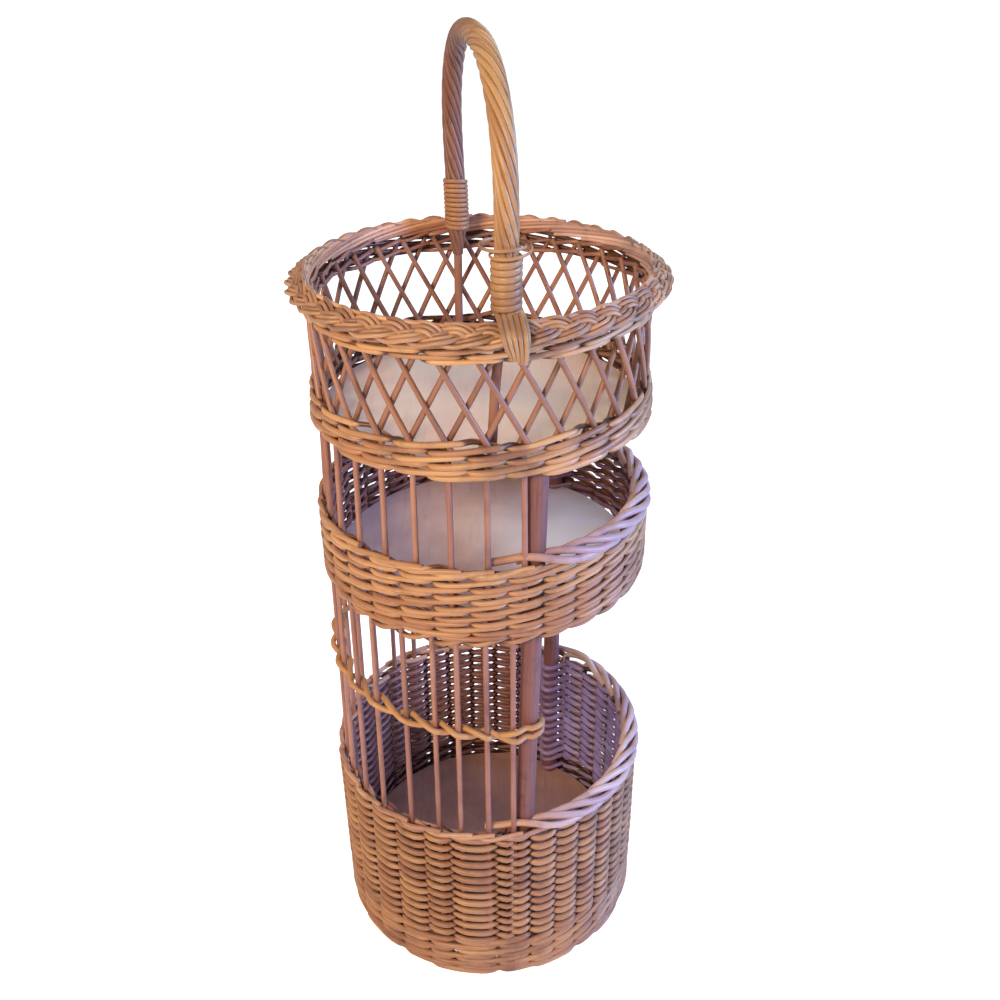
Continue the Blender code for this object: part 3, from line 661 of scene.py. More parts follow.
@dataclass(frozen=True)
class PostFinish:
    """A thick post: long grain streaks, dark cracks and worn pale stretches.

    Grain and cracks are noises on (length * stretch, girth * sine, girth * cosine) of the turn round it.
    """

    name: str
    pale: Colour
    middle: Colour
    deep: Colour
    tone_spread: float = 30.0
    grain: Noise = Noise(1.5, 7.0, 0.7)
    grain_stretch: tuple[float, float] = (6.0, 3.0)
    grain_range: tuple[float, float] = (0.30, 0.75)
    crack: Noise = Noise(1.2, 3.0)
    crack_stretch: tuple[float, float] = (14.0, 5.0)
    crack_stain: Stain = Stain(0.64, 0.76, 0.7)
    crack_depth: tuple[float, float] = (0.62, 0.74)
    wear: Noise = Noise(9.0, 3.0)
    wear_stain: Stain = Stain(0.45, 0.75, 0.6)
    blotch: Noise = Noise(26.0, 5.0, 0.65)
    blotch_stain: Stain = Stain(0.52, 0.72, 0.55)
    roughness: float = 0.45
    roughness_swing: float = 0.2
    grain_strength: float = 0.5
    grain_depth: float = 0.0006

    def material(self) -> Material:
        """Build the finish.

        Returns:
            A material that reads the post's length and turn.
        """
        graph = Graph(bpy.data.materials.new(self.name))
        grain = graph.noise(self.skin(graph, *self.grain_stretch), self.grain)
        crack = graph.noise(self.skin(graph, *self.crack_stretch), self.crack)
        body = graph.mix(graph.ramp(grain, *self.grain_range), srgb(self.pale), srgb(self.middle))
        body = graph.stain(body, graph.noise(graph.place(), self.wear), self.wear_stain, self.pale)
        body = graph.stain(body, graph.noise(graph.place(), self.blotch), self.blotch_stain, self.deep)
        body = graph.stain(body, crack, self.crack_stain, self.deep)
        graph.dress(body, graph.plus(graph.times(grain, self.roughness_swing), self.roughness))
        graph.bump(graph.minus(grain, graph.ramp(crack, *self.crack_depth)), self.grain_strength,
                   self.grain_depth)
        return graph.owner

    def skin(self, graph: Graph, stretch: float, girth: float) -> Socket:
        """Lay a pattern out on the post's skin.

        Args:
            graph: the material's nodes.
            stretch: pattern lengths in a metre of the post.
            girth: radius of the pattern's circle round the post.

        Returns:
            The pattern's vector, which each post starts elsewhere.
        """
        length, sine, cosine = graph.along_rod()
        seed = graph.times(graph.attribute(Layer.TONE), self.tone_spread)
        return graph.vector(graph.times(length, stretch), graph.times(sine, girth),
                            graph.plus(graph.times(cosine, girth), seed))


@dataclass(frozen=True)
class BoardFinish:
    """A plywood floor: faint straight grain, clouded colour, scuffs and a paler patch.

    The grain is a noise whose x is stretched. The patch's edge wanders with the clouds. On the middle board
    the patch is painted bluish light.
    """

    name: str
    pale: Colour
    middle: Colour
    deep: Colour
    patch: Colour
    patch_place: tuple[float, float]
    patch_reach: float
    patch_edge: float = 0.012
    patch_share: float = 0.7
    patch_wander: float = 0.04
    grain: Noise = Noise(14.0, 6.0, 0.6)
    grain_stretch: float = 12.0
    grain_stain: Stain = Stain(0.5, 0.8, 0.35)
    cloud: Noise = Noise(11.0, 5.0, 0.6)
    cloud_range: tuple[float, float] = (0.3, 0.7)
    scuff: Noise = Noise(70.0, 4.0, 0.7)
    scuff_stain: Stain = Stain(0.66, 0.76, 0.45)
    scuff_depth: float = -0.5
    roughness: float = 0.6
    roughness_swing: float = 0.2
    grain_strength: float = 0.35
    grain_depth: float = 0.0004

    def material(self) -> Material:
        """Build the finish.

        Returns:
            A material that reads the board's own coordinates.
        """
        graph = Graph(bpy.data.materials.new(self.name))
        stretched = graph.times(graph.axis(0), self.grain_stretch)
        grain = graph.noise(graph.vector(stretched, graph.axis(1), 0.0), self.grain)
        cloud = graph.noise(graph.place(), self.cloud)
        scuff = graph.noise(graph.place(), self.scuff)
        body = graph.mix(graph.ramp(cloud, *self.cloud_range), srgb(self.pale), srgb(self.middle))
        body = graph.stain(body, grain, self.grain_stain, self.deep)
        body = graph.stain(body, scuff, self.scuff_stain, self.deep)
        # the patch, which on the middle board is painted bluish light
        edge = graph.plus(graph.distance(self.patch_place), graph.times(cloud, self.patch_wander))
        inside = graph.minus(1.0, graph.ramp(edge, self.patch_reach, self.patch_reach + self.patch_edge))
        body = graph.mix(graph.times(inside, self.patch_share), body, srgb(self.patch))
        graph.dress(body, graph.plus(graph.times(cloud, self.roughness_swing), self.roughness))
        graph.bump(graph.plus(grain, graph.times(scuff, self.scuff_depth)), self.grain_strength,
                   self.grain_depth)
        return graph.owner


GOLDEN = WillowFinish("golden_willow", pale=(218, 166, 116), middle=(168, 113, 81), deep=(106, 70, 58),
                      scar=(66, 42, 38), end=(164, 116, 90))
# the inside tint is painted lilac shade with painted bluish light on the right; the recess tint is painted
# shade
BASKET = replace(GOLDEN, name="basket_willow", pale=(194, 142, 99), middle=(160, 108, 78),
                 painted_inside=PaintedInsideShadeAndLight((204, 184, 226), 0.1610, (1.45, 2.7, 6.2)),
                 recess_shade=PaintedRecessShade((100, 80, 82), 0.1611))
# the inside tint is painted lilac shade with painted bluish light on the right; the recess tint is painted
# shade
TRAY = replace(GOLDEN, name="tray_willow", painted_inside=PaintedInsideShadeAndLight((198, 182, 230), 0.1555, (1.0, 1.3, 2.4)),
               recess_shade=PaintedRecessShade((158, 138, 136), 0.1566))
# painted shade inside the band and in its recesses
BAND = replace(GOLDEN, name="band_willow", painted_inside=PaintedInsideShadeAndLight((200, 182, 214), 0.1515),
               recess_shade=PaintedRecessShade((132, 112, 112), 0.1545))
# the inside tint is faint painted shade, with painted bluish light on the stand's right
BRAID = replace(GOLDEN, name="braid_willow", pale=(206, 158, 118), middle=(146, 100, 80),
                painted_inside=PaintedInsideShadeAndLight((255, 240, 226), 0.1550, (1.0, 1.3, 2.2)))
# a paler copy of the braid finish: painted light on the rim's inner rods, which lie in shade
LINING = replace(BRAID, name="lining_willow", pale=(236, 186, 142), middle=(166, 114, 92))
LATTICE = WillowFinish("brown_willow", pale=(178, 124, 96), middle=(148, 100, 80), deep=(104, 68, 58),
                       scar=(66, 40, 36), end=(150, 106, 84))
STAKE = WillowFinish("mauve_willow", pale=(190, 134, 106), middle=(160, 106, 90), deep=(102, 66, 64),
                     scar=(70, 44, 42), end=(160, 116, 96))
TIP = WillowFinish("pale_willow", pale=(208, 164, 119), middle=(179, 130, 94), deep=(128, 88, 68),
                   scar=(84, 52, 44), end=(160, 108, 80))
# its inside circle takes in every rod, so the tint paints bluish light on the stand's right
BORDER = replace(TIP, name="border_willow", pale=(212, 164, 124), middle=(178, 128, 104),
                 painted_inside=PaintedInsideShadeAndLight((255, 250, 250), 0.2000, (1.0, 1.3, 2.1)))
TWINE = replace(TIP, name="twine_willow", pale=(208, 154, 98), middle=(180, 124, 78))
# the far-side tint is painted shade on the bow's back leg
HANDLE = WillowFinish("handle_willow", pale=(204, 158, 108), middle=(174, 126, 86), deep=(120, 78, 58),
                      scar=(84, 52, 42), end=(153, 109, 81), streak_stretch=8.0, painted_far_shade=(191, 171, 196))
# the binding keeps only a faint painted shade on the far side
BINDING = replace(HANDLE, name="binding_willow", painted_far_shade=(255, 244, 244))
POST = PostFinish("rosy_post", pale=(140, 89, 80), middle=(112, 70, 68), deep=(54, 32, 36))
TOP_BOARD = BoardFinish("pale_board", pale=(255, 236, 214), middle=(255, 218, 196), deep=(222, 180, 154),
                        patch=(255, 244, 218), patch_place=(-0.06, 0.075), patch_reach=0.035, patch_edge=0.03)
# its bluish patch on the right is painted light
MIDDLE_BOARD = BoardFinish("lilac_board", pale=(222, 196, 192), middle=(198, 170, 168), deep=(148, 124, 132),
                           patch=(226, 234, 255), patch_place=(0.14, 0.01), patch_reach=0.075,
                           patch_edge=0.12, patch_share=1.0)
BOTTOM_BOARD = BoardFinish("grey_board", pale=(206, 154, 130), middle=(176, 128, 112), deep=(118, 86, 82),
                           patch=(226, 176, 144), patch_place=(-0.02, -0.06), patch_reach=0.06)


@dataclass(frozen=True)
class Upright:
    """A straight upright of the frame: a post or a stake."""

    node: str
    foot: Array
    head: Array
    foot_radius: float
    head_radius: float

    @classmethod
    def of(cls, frame: dict, node: str) -> "Upright":
        """Read an upright from its frame node.

        Args:
            frame: the loaded frame.
            node: the node's name.

        Returns:
            The upright, whose ends are the middles of the node's two end rings.
        """
        mesh = frame["nodes"][node].data
        corners = np.empty(len(mesh.vertices) * 3, dtype=np.float32)
        mesh.vertices.foreach_get("co", corners)
        corners = np.unique(corners.reshape(-1, 3).round(MERGE_DIGITS), axis=0).astype(float)
        low = corners[:, 2] < corners[:, 2].mean()
        ends, radii = [], []
        for ring in (corners[low], corners[~low]):
            ends.append(ring.mean(axis=0))
            radii.append(float(np.linalg.norm(ring - ring.mean(axis=0), axis=1).mean()))
        return cls(node, ends[0], ends[1], radii[0], radii[1])

    def at(self, height: float) -> Array:
        """The point of the upright's middle line at a height."""
        share = (height - self.foot[2]) / (self.head[2] - self.foot[2])
        return self.foot + share * (self.head - self.foot)

    def azimuth(self, height: float) -> float:
        """The upright's azimuth in degrees at a height."""
        point = self.at(height)
        return float(np.degrees(np.arctan2(point[1], point[0])))

    def circle(self, height: float) -> float:
        """The upright's distance from the axis at a height."""
        return float(np.linalg.norm(self.at(height)[:2]))


@dataclass
class Columns:
    """The columns of a woven ring, by the azimuths at which its weavers cross between them.

    The coordinate u counts columns: column k is centred on u = k, and crossing k is at u = k + 1/2.
    """

    crossings: Array

    @property
    def count(self) -> int:
        """How many columns there are."""
        return len(self.crossings)

    @classmethod
    def even(cls, count: int, first: float) -> "Columns":
        """Equal columns, with one centred on a first azimuth."""
        spacing = 360 / count
        return cls(first + spacing * (np.arange(count) + 0.5))

    def azimuth(self, u: Array) -> Array:
        """Azimuths at column coordinates, straight between crossings.

        Args:
            u: the coordinates.

        Returns:
            Azimuths in degrees, which go on past 360.
        """
        turns = np.floor((u - 0.5) / self.count)
        places = np.arange(self.count + 1) + 0.5
        angles = np.append(self.crossings, self.crossings[0] + 360)
        return np.interp(u - turns * self.count, places, angles) + 360 * turns


def waver(rng: Random, rods: int, azimuth: Array, reach: float) -> Array:
    """A small slow drift of each rod: the sum of three waves with random starts.

    WAVES gives how many waves there are in a turn, and the share that they have in the drift.

    Args:
        rng: source of the starts.
        rods: how many rods.
        azimuth: azimuths in degrees, (points) or (rods, points).
        reach: the drift's largest part.

    Returns:
        The drift, (rods, points).
    """
    total = 0.0
    for waves, share in WAVES:
        start = rng.uniform(0, 2 * np.pi, (rods, 1))
        total = total + share * np.sin(waves * np.radians(azimuth) + start)
    return reach * total


@dataclass(kw_only=True)
class WovenRing:
    """What randed and waled rows share: their columns, levels and the way past the posts."""

    columns: Columns
    foot: float
    top: float
    rows: int
    rod: float
    swing: float
    bow: float
    posts: list[Upright] = field(default_factory=list)
    unevenness: float = 0.0006

    def past_posts(self, radius: Array, circle: Array | float, side: Array, azimuth: Array) -> Array:
        """Bow the rods further in where they pass inside a post, by a hump deep enough to clear it.

        Args:
            radius: the rods' distances from the axis, (rows, points).
            circle: the circle about which they swing.
            side: 1 where they are outside an upright, -1 where they are inside it.
            azimuth: azimuths of the points in degrees.

        Returns:
            The distances with the bows.
        """
        middle = (self.foot + self.top) / 2
        for post in self.posts:
            depth = circle - self.swing - (post.circle(middle) - post.foot_radius - self.rod)
            radius = radius - depth * hump(azimuth, post.azimuth(middle), self.bow) * np.clip(-side, 0, 1)
        return radius


@dataclass(kw_only=True)
class RandedWall(WovenRing):
    """Rows of single weavers that pass outside one upright and inside the next.

    Row i at column coordinate u lies at circle + swing * sin(pi/2 * cos(pi * (u + i))).
    """

    circle: float
    rows: int = 27
    rod: float = 0.0032
    swing: float = 0.0058
    bow: float = 10.0
    column_points: int = 9
    taper: float = 0.1

    def rods(self, rng: Random) -> Rods:
        """Lay all rows.

        Args:
            rng: the seeded random draws.

        Returns:
            The rows as closed rods.
        """
        u = np.arange(self.columns.count * self.column_points) / self.column_points
        azimuth = self.columns.azimuth(u)
        row = np.arange(self.rows)[:, None]
        side = np.sin(np.pi / 2 * np.cos(np.pi * (u + row)))
        pitch = (self.top - self.foot) / self.rows
        height = self.foot + (row + 0.5) * pitch + waver(rng, self.rows, azimuth, self.unevenness)
        radius = self.past_posts(self.circle + self.swing * side, self.circle, side, azimuth)
        thickness = self.rod * (1 + self.taper * waver(rng, self.rows, azimuth, 1.0))
        return Rods(cylindrical(radius, azimuth, height), thickness, outward(azimuth), closed=True)


@dataclass(kw_only=True)
class WaledRing(WovenRing):
    """Rows of single rods, each of which passes in front of two uprights and behind one.

    With p the share of a three-column period, a rod's offset from its circle is
    swing * tanh(sharpness * (cos(2 pi (p - 1/3)) + 1/2)). Along its front stroke, two thirds of the period,
    it climbs by rise, less in the lowest rows, and it falls back behind the upright. Each row starts its
    strokes one column before the row under it. Row levels are shares to the power crowding, so the lowest
    rows lie closer.
    """

    circle_foot: float
    circle_top: float
    rise: float
    swing: float = 0.0052
    bow: float = 11.0
    column_points: int = 8
    sharpness: float = 3.0
    crowding: float = 1.15
    least_rise: float = 0.25
    rise_growth: float = 2.5
    inner_thickness: float = 0.9
    bulge: float = 0.1
    taper: float = 0.14
    taper_waves: int = 3

    def rods(self, rng: Random) -> Rods:
        """Lay all rows.

        Args:
            rng: the seeded random draws.

        Returns:
            The rows as closed rods.
        """
        count = self.columns.count - self.columns.count % 3
        points = count * self.column_points
        turn = np.arange(points) / points
        azimuth = self.columns.azimuth(turn * self.columns.count)
        row = np.arange(self.rows)[:, None]
        phase = ((turn * count + row - 0.5) / 3) % 1
        front = phase < 2 / 3
        stroke = np.where(front, phase * 3 / 2, (phase - 2 / 3) * 3)
        climb = np.where(front, -1, 1) * np.cos(np.pi * stroke) / 2
        side = np.tanh(self.sharpness * (np.cos(2 * np.pi * (phase - 1 / 3)) + 1 / 2))
        level = ((row + 0.5) / self.rows) ** self.crowding
        rise = self.rise * np.clip(self.least_rise + self.rise_growth * level, 0, 1)
        height = (self.foot + level * (self.top - self.foot) + climb * rise
                  + waver(rng, self.rows, azimuth, self.unevenness))
        circle = self.circle_foot + (self.circle_top - self.circle_foot) * level
        radius = self.past_posts(circle + self.swing * side, circle, side, azimuth)
        uneven = waver(rng, self.rows, self.taper_waves * azimuth, 1.0)
        thickness = self.rod * (self.inner_thickness + self.bulge * side + self.taper * uneven)
        return Rods(cylindrical(radius, azimuth, height), thickness, outward(azimuth), closed=True)


@dataclass
class LoosePair:
    """Two rods that hang under the middle tray, twined about its stakes and slack on the closed half.

    With s the slack, a hump of the azimuth, rod j lies at
    height - drop * s + (-1)^j * spread * (tight_spread + slack_spread * s) * sin(pi u) and swings the other
    way across its circle, so the two cross at each stake.
    """

    columns: Columns
    circle: float
    height: float
    rod: float = 0.0027
    swing: float = 0.0030
    spread: float = 0.0034
    tight_spread: float = 0.7
    slack_spread: float = 0.6
    drop: float = 0.0022
    slack_azimuth: float = -118.0
    slack_reach: float = 60.0
    unevenness: float = 0.0005
    column_points: int = 12

    def rods(self, rng: Random) -> Rods:
        """Lay both rods.

        Args:
            rng: the seeded random draws.

        Returns:
            The two closed rods.
        """
        u = np.arange(self.columns.count * self.column_points) / self.column_points
        azimuth = self.columns.azimuth(u)
        slack = hump(azimuth, self.slack_azimuth, self.slack_reach)
        sense = np.array((1.0, -1.0))[:, None]
        wave = (self.tight_spread + self.slack_spread * slack) * np.sin(np.pi * u)
        radius = self.circle + sense * self.swing * np.cos(np.pi * u)
        height = self.height - self.drop * slack + sense * self.spread * wave
        height = height + waver(rng, 2, azimuth, self.unevenness)
        return Rods(cylindrical(radius, azimuth, height), self.rod, outward(azimuth), closed=True)


@dataclass
class RolledBorder:
    """Border rods of the open half, each bent down over the next four columns.

    A rod rises as a stake, passes outside its neighbours, over the top and ends inside the fourth.
    The route gives, for each stop, columns passed, distance out from the circle and height over the wall.
    """

    circle: float
    top: float
    first: float
    last: float
    count: int
    rod: float = 0.0036
    sides: int = 10
    steps: int = 6
    end_play: float = 0.12
    stop_play: float = 0.0004
    taper: tuple[float, float] = (0.92, 1.04)
    girths: tuple[float, float] = (0.92, 1.06)
    route: Route = (
        (0.0, 0.0, -0.0120), (0.12, 0.0030, -0.0030), (0.5, 0.0066, 0.0002), (1.1, 0.0072, 0.0020),
        (1.6, 0.0056, 0.0056), (2.1, 0.0020, 0.0094), (2.6, -0.0030, 0.0098), (3.1, -0.0062, 0.0066),
        (3.7, -0.0070, 0.0040))

    def rods(self, rng: Random) -> Rods:
        """Lay all border rods.

        Args:
            rng: the seeded random draws.

        Returns:
            The rods.
        """
        starts = np.linspace(self.first, self.last, self.count)
        spacing = (self.last - self.first) / (self.count - 1)
        stops = np.repeat(np.array(self.route)[None], self.count, axis=0)
        stops[:, -1, 0] += rng.uniform(-self.end_play, self.end_play, self.count)
        stops[:, 1:, 1:] += rng.uniform(-self.stop_play, self.stop_play, stops[:, 1:, 1:].shape)
        curve = smooth_route(stops, self.steps)
        azimuth = starts[:, None] - curve[..., 0] * spacing
        points = cylindrical(self.circle + curve[..., 1], azimuth, self.top + curve[..., 2])
        girths = rng.uniform(*self.girths, (self.count, 1))
        radii = self.rod * np.linspace(*self.taper, points.shape[1]) * girths
        return Rods(points, radii, outward(azimuth), sides=self.sides)


@dataclass
class WeaverTips:
    """Last tips of the weavers on the closed half: each lies outside one stake and ends at the next.

    The route gives, for each stop, stakes passed, distance out from the circle and height over the wall.
    """

    circle: float
    top: float
    azimuths: list[float]
    spacing: float
    rod: float = 0.0028
    sides: int = 9
    steps: int = 6
    end_play: tuple[float, float] = (-0.15, 0.10)
    height_play: float = 0.0008
    taper: tuple[float, float] = (1.1, 0.85)
    girths: tuple[float, float] = (0.9, 1.1)
    route: Route = (
        (-1.6, -0.0052, -0.0062), (-1.0, -0.0046, -0.0050), (-0.5, 0.0010, -0.0036), (0.0, 0.0058, -0.0016),
        (0.5, 0.0050, 0.0004), (0.9, 0.0040, 0.0016), (1.25, 0.0046, 0.0024))

    def rods(self, rng: Random) -> Rods:
        """Lay all tips.

        Args:
            rng: the seeded random draws.

        Returns:
            The rods.
        """
        count = len(self.azimuths)
        stops = np.repeat(np.array(self.route)[None], count, axis=0)
        stops[:, -1, 0] += rng.uniform(*self.end_play, count)
        stops[:, :, 2] += rng.uniform(-self.height_play, self.height_play, (count, 1))
        curve = smooth_route(stops, self.steps)
        azimuth = np.array(self.azimuths)[:, None] + curve[..., 0] * self.spacing
        points = cylindrical(self.circle + curve[..., 1], azimuth, self.top + curve[..., 2])
        girths = rng.uniform(*self.girths, (count, 1))
        radii = self.rod * np.linspace(*self.taper, points.shape[1]) * girths
        return Rods(points, radii, outward(azimuth), sides=self.sides)


@dataclass
class BottomBasket:
    """The bottom basket: waled foot, randed wall, rolled border and weavers' tips."""

    posts: list[Upright]
    stakes: list[Upright]
    circle: float = 0.1620
    wall_circle: float = 0.1613
    foot_start: float = 0.0042
    foot_height: float = 0.0540
    foot_lap: float = 0.0020
    rows_top: float = 0.2130
    wall_top: float = 0.2150
    open_columns: int = 13
    post_column: tuple[float, float] = (-87.5, -74.9)
    back_column: tuple[float, float] = (50.5, 63.5)
    border_start: float = -52.0

    def columns(self) -> Columns:
        """Lay out columns centred on the stakes, equal ones on the open half and wide ones over the posts.

        Returns:
            The columns.
        """
        stakes = sorted(stake.azimuth(self.wall_top) % 360 for stake in self.stakes)
        between = [(here + there) / 2 for here, there in zip(stakes, stakes[1:])]
        closed = [azimuth for azimuth in between if azimuth < self.post_column[0] + 360]
        closed[-1] = self.post_column[0] + 360
        step = (self.back_column[0] - self.post_column[1]) / self.open_columns
        opened = [self.post_column[1] + step * index for index in range(self.open_columns + 1)]
        return Columns(np.array([*opened, self.back_column[1], *closed]))

    def build(self, rng: Random) -> None:
        """Build and dress all its pieces.

        Args:
            rng: the seeded random draws.
        """
        columns = self.columns()
        wall = RandedWall(columns=columns, posts=self.posts, circle=self.wall_circle, foot=self.foot_height,
                          top=self.rows_top)
        foot = WaledRing(columns=columns, posts=self.posts, circle_foot=self.circle, circle_top=self.circle,
                         foot=self.foot_start, top=self.foot_height + self.foot_lap, rows=12, rod=0.0033,
                         swing=0.0046, rise=0.0056, crowding=1.25)
        border = RolledBorder(self.circle, self.wall_top, first=self.border_start, last=self.back_column[1],
                              count=self.open_columns - 1)
        tips = WeaverTips(self.circle, self.wall_top, [stake.azimuth(self.wall_top) for stake in self.stakes],
                          spacing=10.5)
        for name, part, finish in (("basket_weave", wall, BASKET), ("basket_foot", foot, BASKET),
                                   ("basket_border", border, BORDER), ("basket_tips", tips, BORDER)):
            add_piece(rods_mesh(name, [part.rods(rng)], rng), finish.material(), Slot.GOLDEN, "basket_wall")


@dataclass
class MiddleTray:
    """The middle tray: waled wall, a loose pair of rods, rolled border and weavers' tips."""

    posts: list[Upright]
    stakes: list[Upright]
    circle: float = 0.1563
    wall_offset: float = 0.0003
    foot: float = 0.4620
    top: float = 0.5330
    pair_offset: float = 0.0010
    pair_height: float = 0.4595
    columns: int = 30
    first: float = -76.8

    def build(self, rng: Random) -> None:
        """Build and dress all its pieces.

        Args:
            rng: the seeded random draws.
        """
        columns = Columns.even(self.columns, self.first)
        circle = self.circle + self.wall_offset
        wall = WaledRing(columns=columns, posts=self.posts, circle_foot=circle, circle_top=circle,
                         foot=self.foot, top=self.top, rows=18, rod=0.0026, swing=0.0050, rise=0.0064)
        pair = LoosePair(columns, self.circle + self.pair_offset, self.pair_height)
        border = RolledBorder(self.circle, self.top, first=-49.0, last=61.0, count=11)
        tips = WeaverTips(self.circle, self.top, [stake.azimuth(self.top) for stake in self.stakes],
                          spacing=12.0)
        for name, part, finish in (("tray_weave", wall, TRAY), ("tray_pair", pair, TRAY),
                                   ("tray_border", border, BORDER), ("tray_tips", tips, TRAY)):
            add_piece(rods_mesh(name, [part.rods(rng)], rng), finish.material(), Slot.GOLDEN, "tray_wall")


@dataclass
class TopTray:
    """The top tray: waled band, and the lattice with its upper wale."""

    circle: float = 0.1521
    band_foot: float = 0.6260
    band_top: float = 0.6570
    wale_foot: float = 0.7285
    wale_top: float = 0.7500
    columns: int = 30
    first: float = -76.8
    rod: float = 0.0026
    sides: int = 10
    apart: float = 1.02
    lean: float = 6.0
    lean_step: float = 0.0300
    lattice_foot: float = 0.6460
    lattice_head: float = 0.7430
    lattice_points: int = 13
    start_play: float = 0.5
    bow_play: float = 0.0004
    taper: tuple[float, float] = (1.08, 0.92)
    girths: tuple[float, float] = (0.93, 1.07)

    def lattice(self, rng: Random) -> list[Rods]:
        """Lay rods of both leans: azimuth = start + sense * lean * (height - band top) / lean step.

        Each bows out or in a little by a half sine of its height. One lean lies inside the circle by apart
        times a rod's radius, and the other as far outside it.

        Args:
            rng: the seeded random draws.

        Returns:
            A batch for each lean.
        """
        starts = self.first + 360 / self.columns * np.arange(self.columns)[:, None]
        height = np.linspace(self.lattice_foot, self.lattice_head, self.lattice_points)
        share = (height - self.lattice_foot) / (self.lattice_head - self.lattice_foot)
        each = (self.columns, 1)
        batches = []
        for sense in (1, -1):
            azimuth = starts + sense * self.lean * (height - self.band_top) / self.lean_step
            azimuth = azimuth + rng.uniform(-self.start_play, self.start_play, each)
            bow = rng.uniform(-self.bow_play, self.bow_play, each) * np.sin(np.pi * share)
            points = cylindrical(self.circle - sense * self.rod * self.apart + bow, azimuth, height)
            radii = self.rod * np.linspace(*self.taper, self.lattice_points) * rng.uniform(*self.girths, each)
            batches.append(Rods(points, radii, outward(azimuth), sides=self.sides))
        return batches

    def build(self, rng: Random) -> None:
        """Build and dress the band, the lattice's wale and its rods.

        Args:
            rng: the seeded random draws.
        """
        columns = Columns.even(self.columns, self.first)
        band = WaledRing(columns=columns, circle_foot=0.1560, circle_top=0.1535, foot=self.band_foot,
                         top=self.band_top, rows=8, rod=0.0029, swing=0.0040, rise=0.0060)
        wale = WaledRing(columns=columns, circle_foot=0.1530, circle_top=0.1535, foot=self.wale_foot,
                         top=self.wale_top, rows=7, rod=0.0024, swing=0.0044, rise=0.0046)
        for name, part, node in (("band_weave", band, "top_band"), ("lattice_wale", wale, "top_lattice")):
            add_piece(rods_mesh(name, [part.rods(rng)], rng), BAND.material(), Slot.GOLDEN, node)
        add_piece(rods_mesh("lattice_rods", self.lattice(rng), rng), LATTICE.material(), Slot.BROWN,
                  "top_lattice")


@dataclass
class Plait:
    """The plaited border: three strands of three rods, and the slanted rods that line it.

    With f the strand's phase, its middle swings by swing * tanh(edge * sin f) / tanh(edge) along an axis that
    falls outwards, and rises by -rise * sin(2 f) along the axis across it. The rods lie side by side, across
    the strand's run.
    """

    circle: float = 0.1630
    height: float = 0.7538
    tilt: float = 36.0
    swing: float = 0.0056
    edge: float = 1.3
    rise: float = 0.0026
    rod: float = 0.0019
    pitch: float = 0.0041
    strands: int = 3
    strand_rods: int = 3
    periods: int = 13
    points: int = 520
    unevenness: float = 0.0003
    taper: float = 0.08
    lining_circles: tuple[float, ...] = (0.1546, 0.1533, 0.1532, 0.1542, 0.1568)
    lining_heights: tuple[float, ...] = (0.7468, 0.7504, 0.7545, 0.7582, 0.7602)
    lining_rods: int = 30
    lining_span: float = 52.0
    lining_rod: float = 0.0021
    lining_points: int = 32
    lining_play: tuple[float, float] = (0.0004, 0.0005)
    lining_taper: float = 0.2

    def lining(self, rng: Random) -> Rods:
        """Lay slanted rods that climb along the inside of the plait, from the wale to the border's top.

        Args:
            rng: the seeded random draws.

        Returns:
            The rods, each over lining_span degrees.
        """
        count = self.lining_rods
        climb = np.linspace(0, 1, self.lining_points)
        level = np.linspace(0, 1, len(self.lining_circles))
        azimuth = 360 * np.arange(count)[:, None] / count - self.lining_span * climb
        out_play, up_play = self.lining_play
        radius = np.interp(climb, level, self.lining_circles) + waver(rng, count, azimuth, out_play)
        height = np.interp(climb, level, self.lining_heights) + waver(rng, count, azimuth, up_play)
        thickness = self.lining_rod * (1 + self.lining_taper * waver(rng, count, azimuth, 1.0))
        return Rods(cylindrical(radius, azimuth, height), thickness, outward(azimuth))

    def strand(self, index: int, rng: Random) -> Rods:
        """Lay the rods of one strand.

        Args:
            index: the strand's number.
            rng: the seeded random draws.

        Returns:
            Its closed rods.
        """
        azimuth = 360 * np.arange(self.points) / self.points
        phase = 2 * np.pi * (self.periods * azimuth / 360 + index / self.strands)
        swing = self.swing * np.tanh(self.edge * np.sin(phase)) / np.tanh(self.edge)
        rise = -self.rise * np.sin(2 * phase)
        step = 2 * np.pi * self.circle / self.points
        slope = (np.roll(swing, -1) - np.roll(swing, 1)) / (2 * step)
        rods = (np.arange(self.strand_rods) - (self.strand_rods - 1) / 2)[:, None] * self.pitch
        crosswise = 1 / np.sqrt(1 + slope ** 2)
        along = -rods * slope * crosswise
        across = swing + rods * crosswise + waver(rng, self.strand_rods, azimuth, self.unevenness)
        tilt = np.radians(self.tilt)
        radius = self.circle + across * np.cos(tilt) + rise * np.sin(tilt)
        height = self.height - across * np.sin(tilt) + rise * np.cos(tilt)
        turned = azimuth + np.degrees(along / self.circle)
        thickness = self.rod * (1 + self.taper * waver(rng, self.strand_rods, azimuth, 1.0))
        return Rods(cylindrical(radius, turned, height), thickness, outward(turned), closed=True)

    def build(self, rng: Random) -> None:
        """Build and dress the strands and the lining.

        Args:
            rng: the seeded random draws.
        """
        for number in range(1, self.strands + 1):
            mesh = rods_mesh(f"plait_rods_{number}", [self.strand(number - 1, rng)], rng)
            add_piece(mesh, BRAID.material(), Slot.GOLDEN, f"plait_strand_{number}")
        add_piece(rods_mesh("plait_lining", [self.lining(rng)], rng), LINING.material(), Slot.GOLDEN,
                  "plait_strand_1")


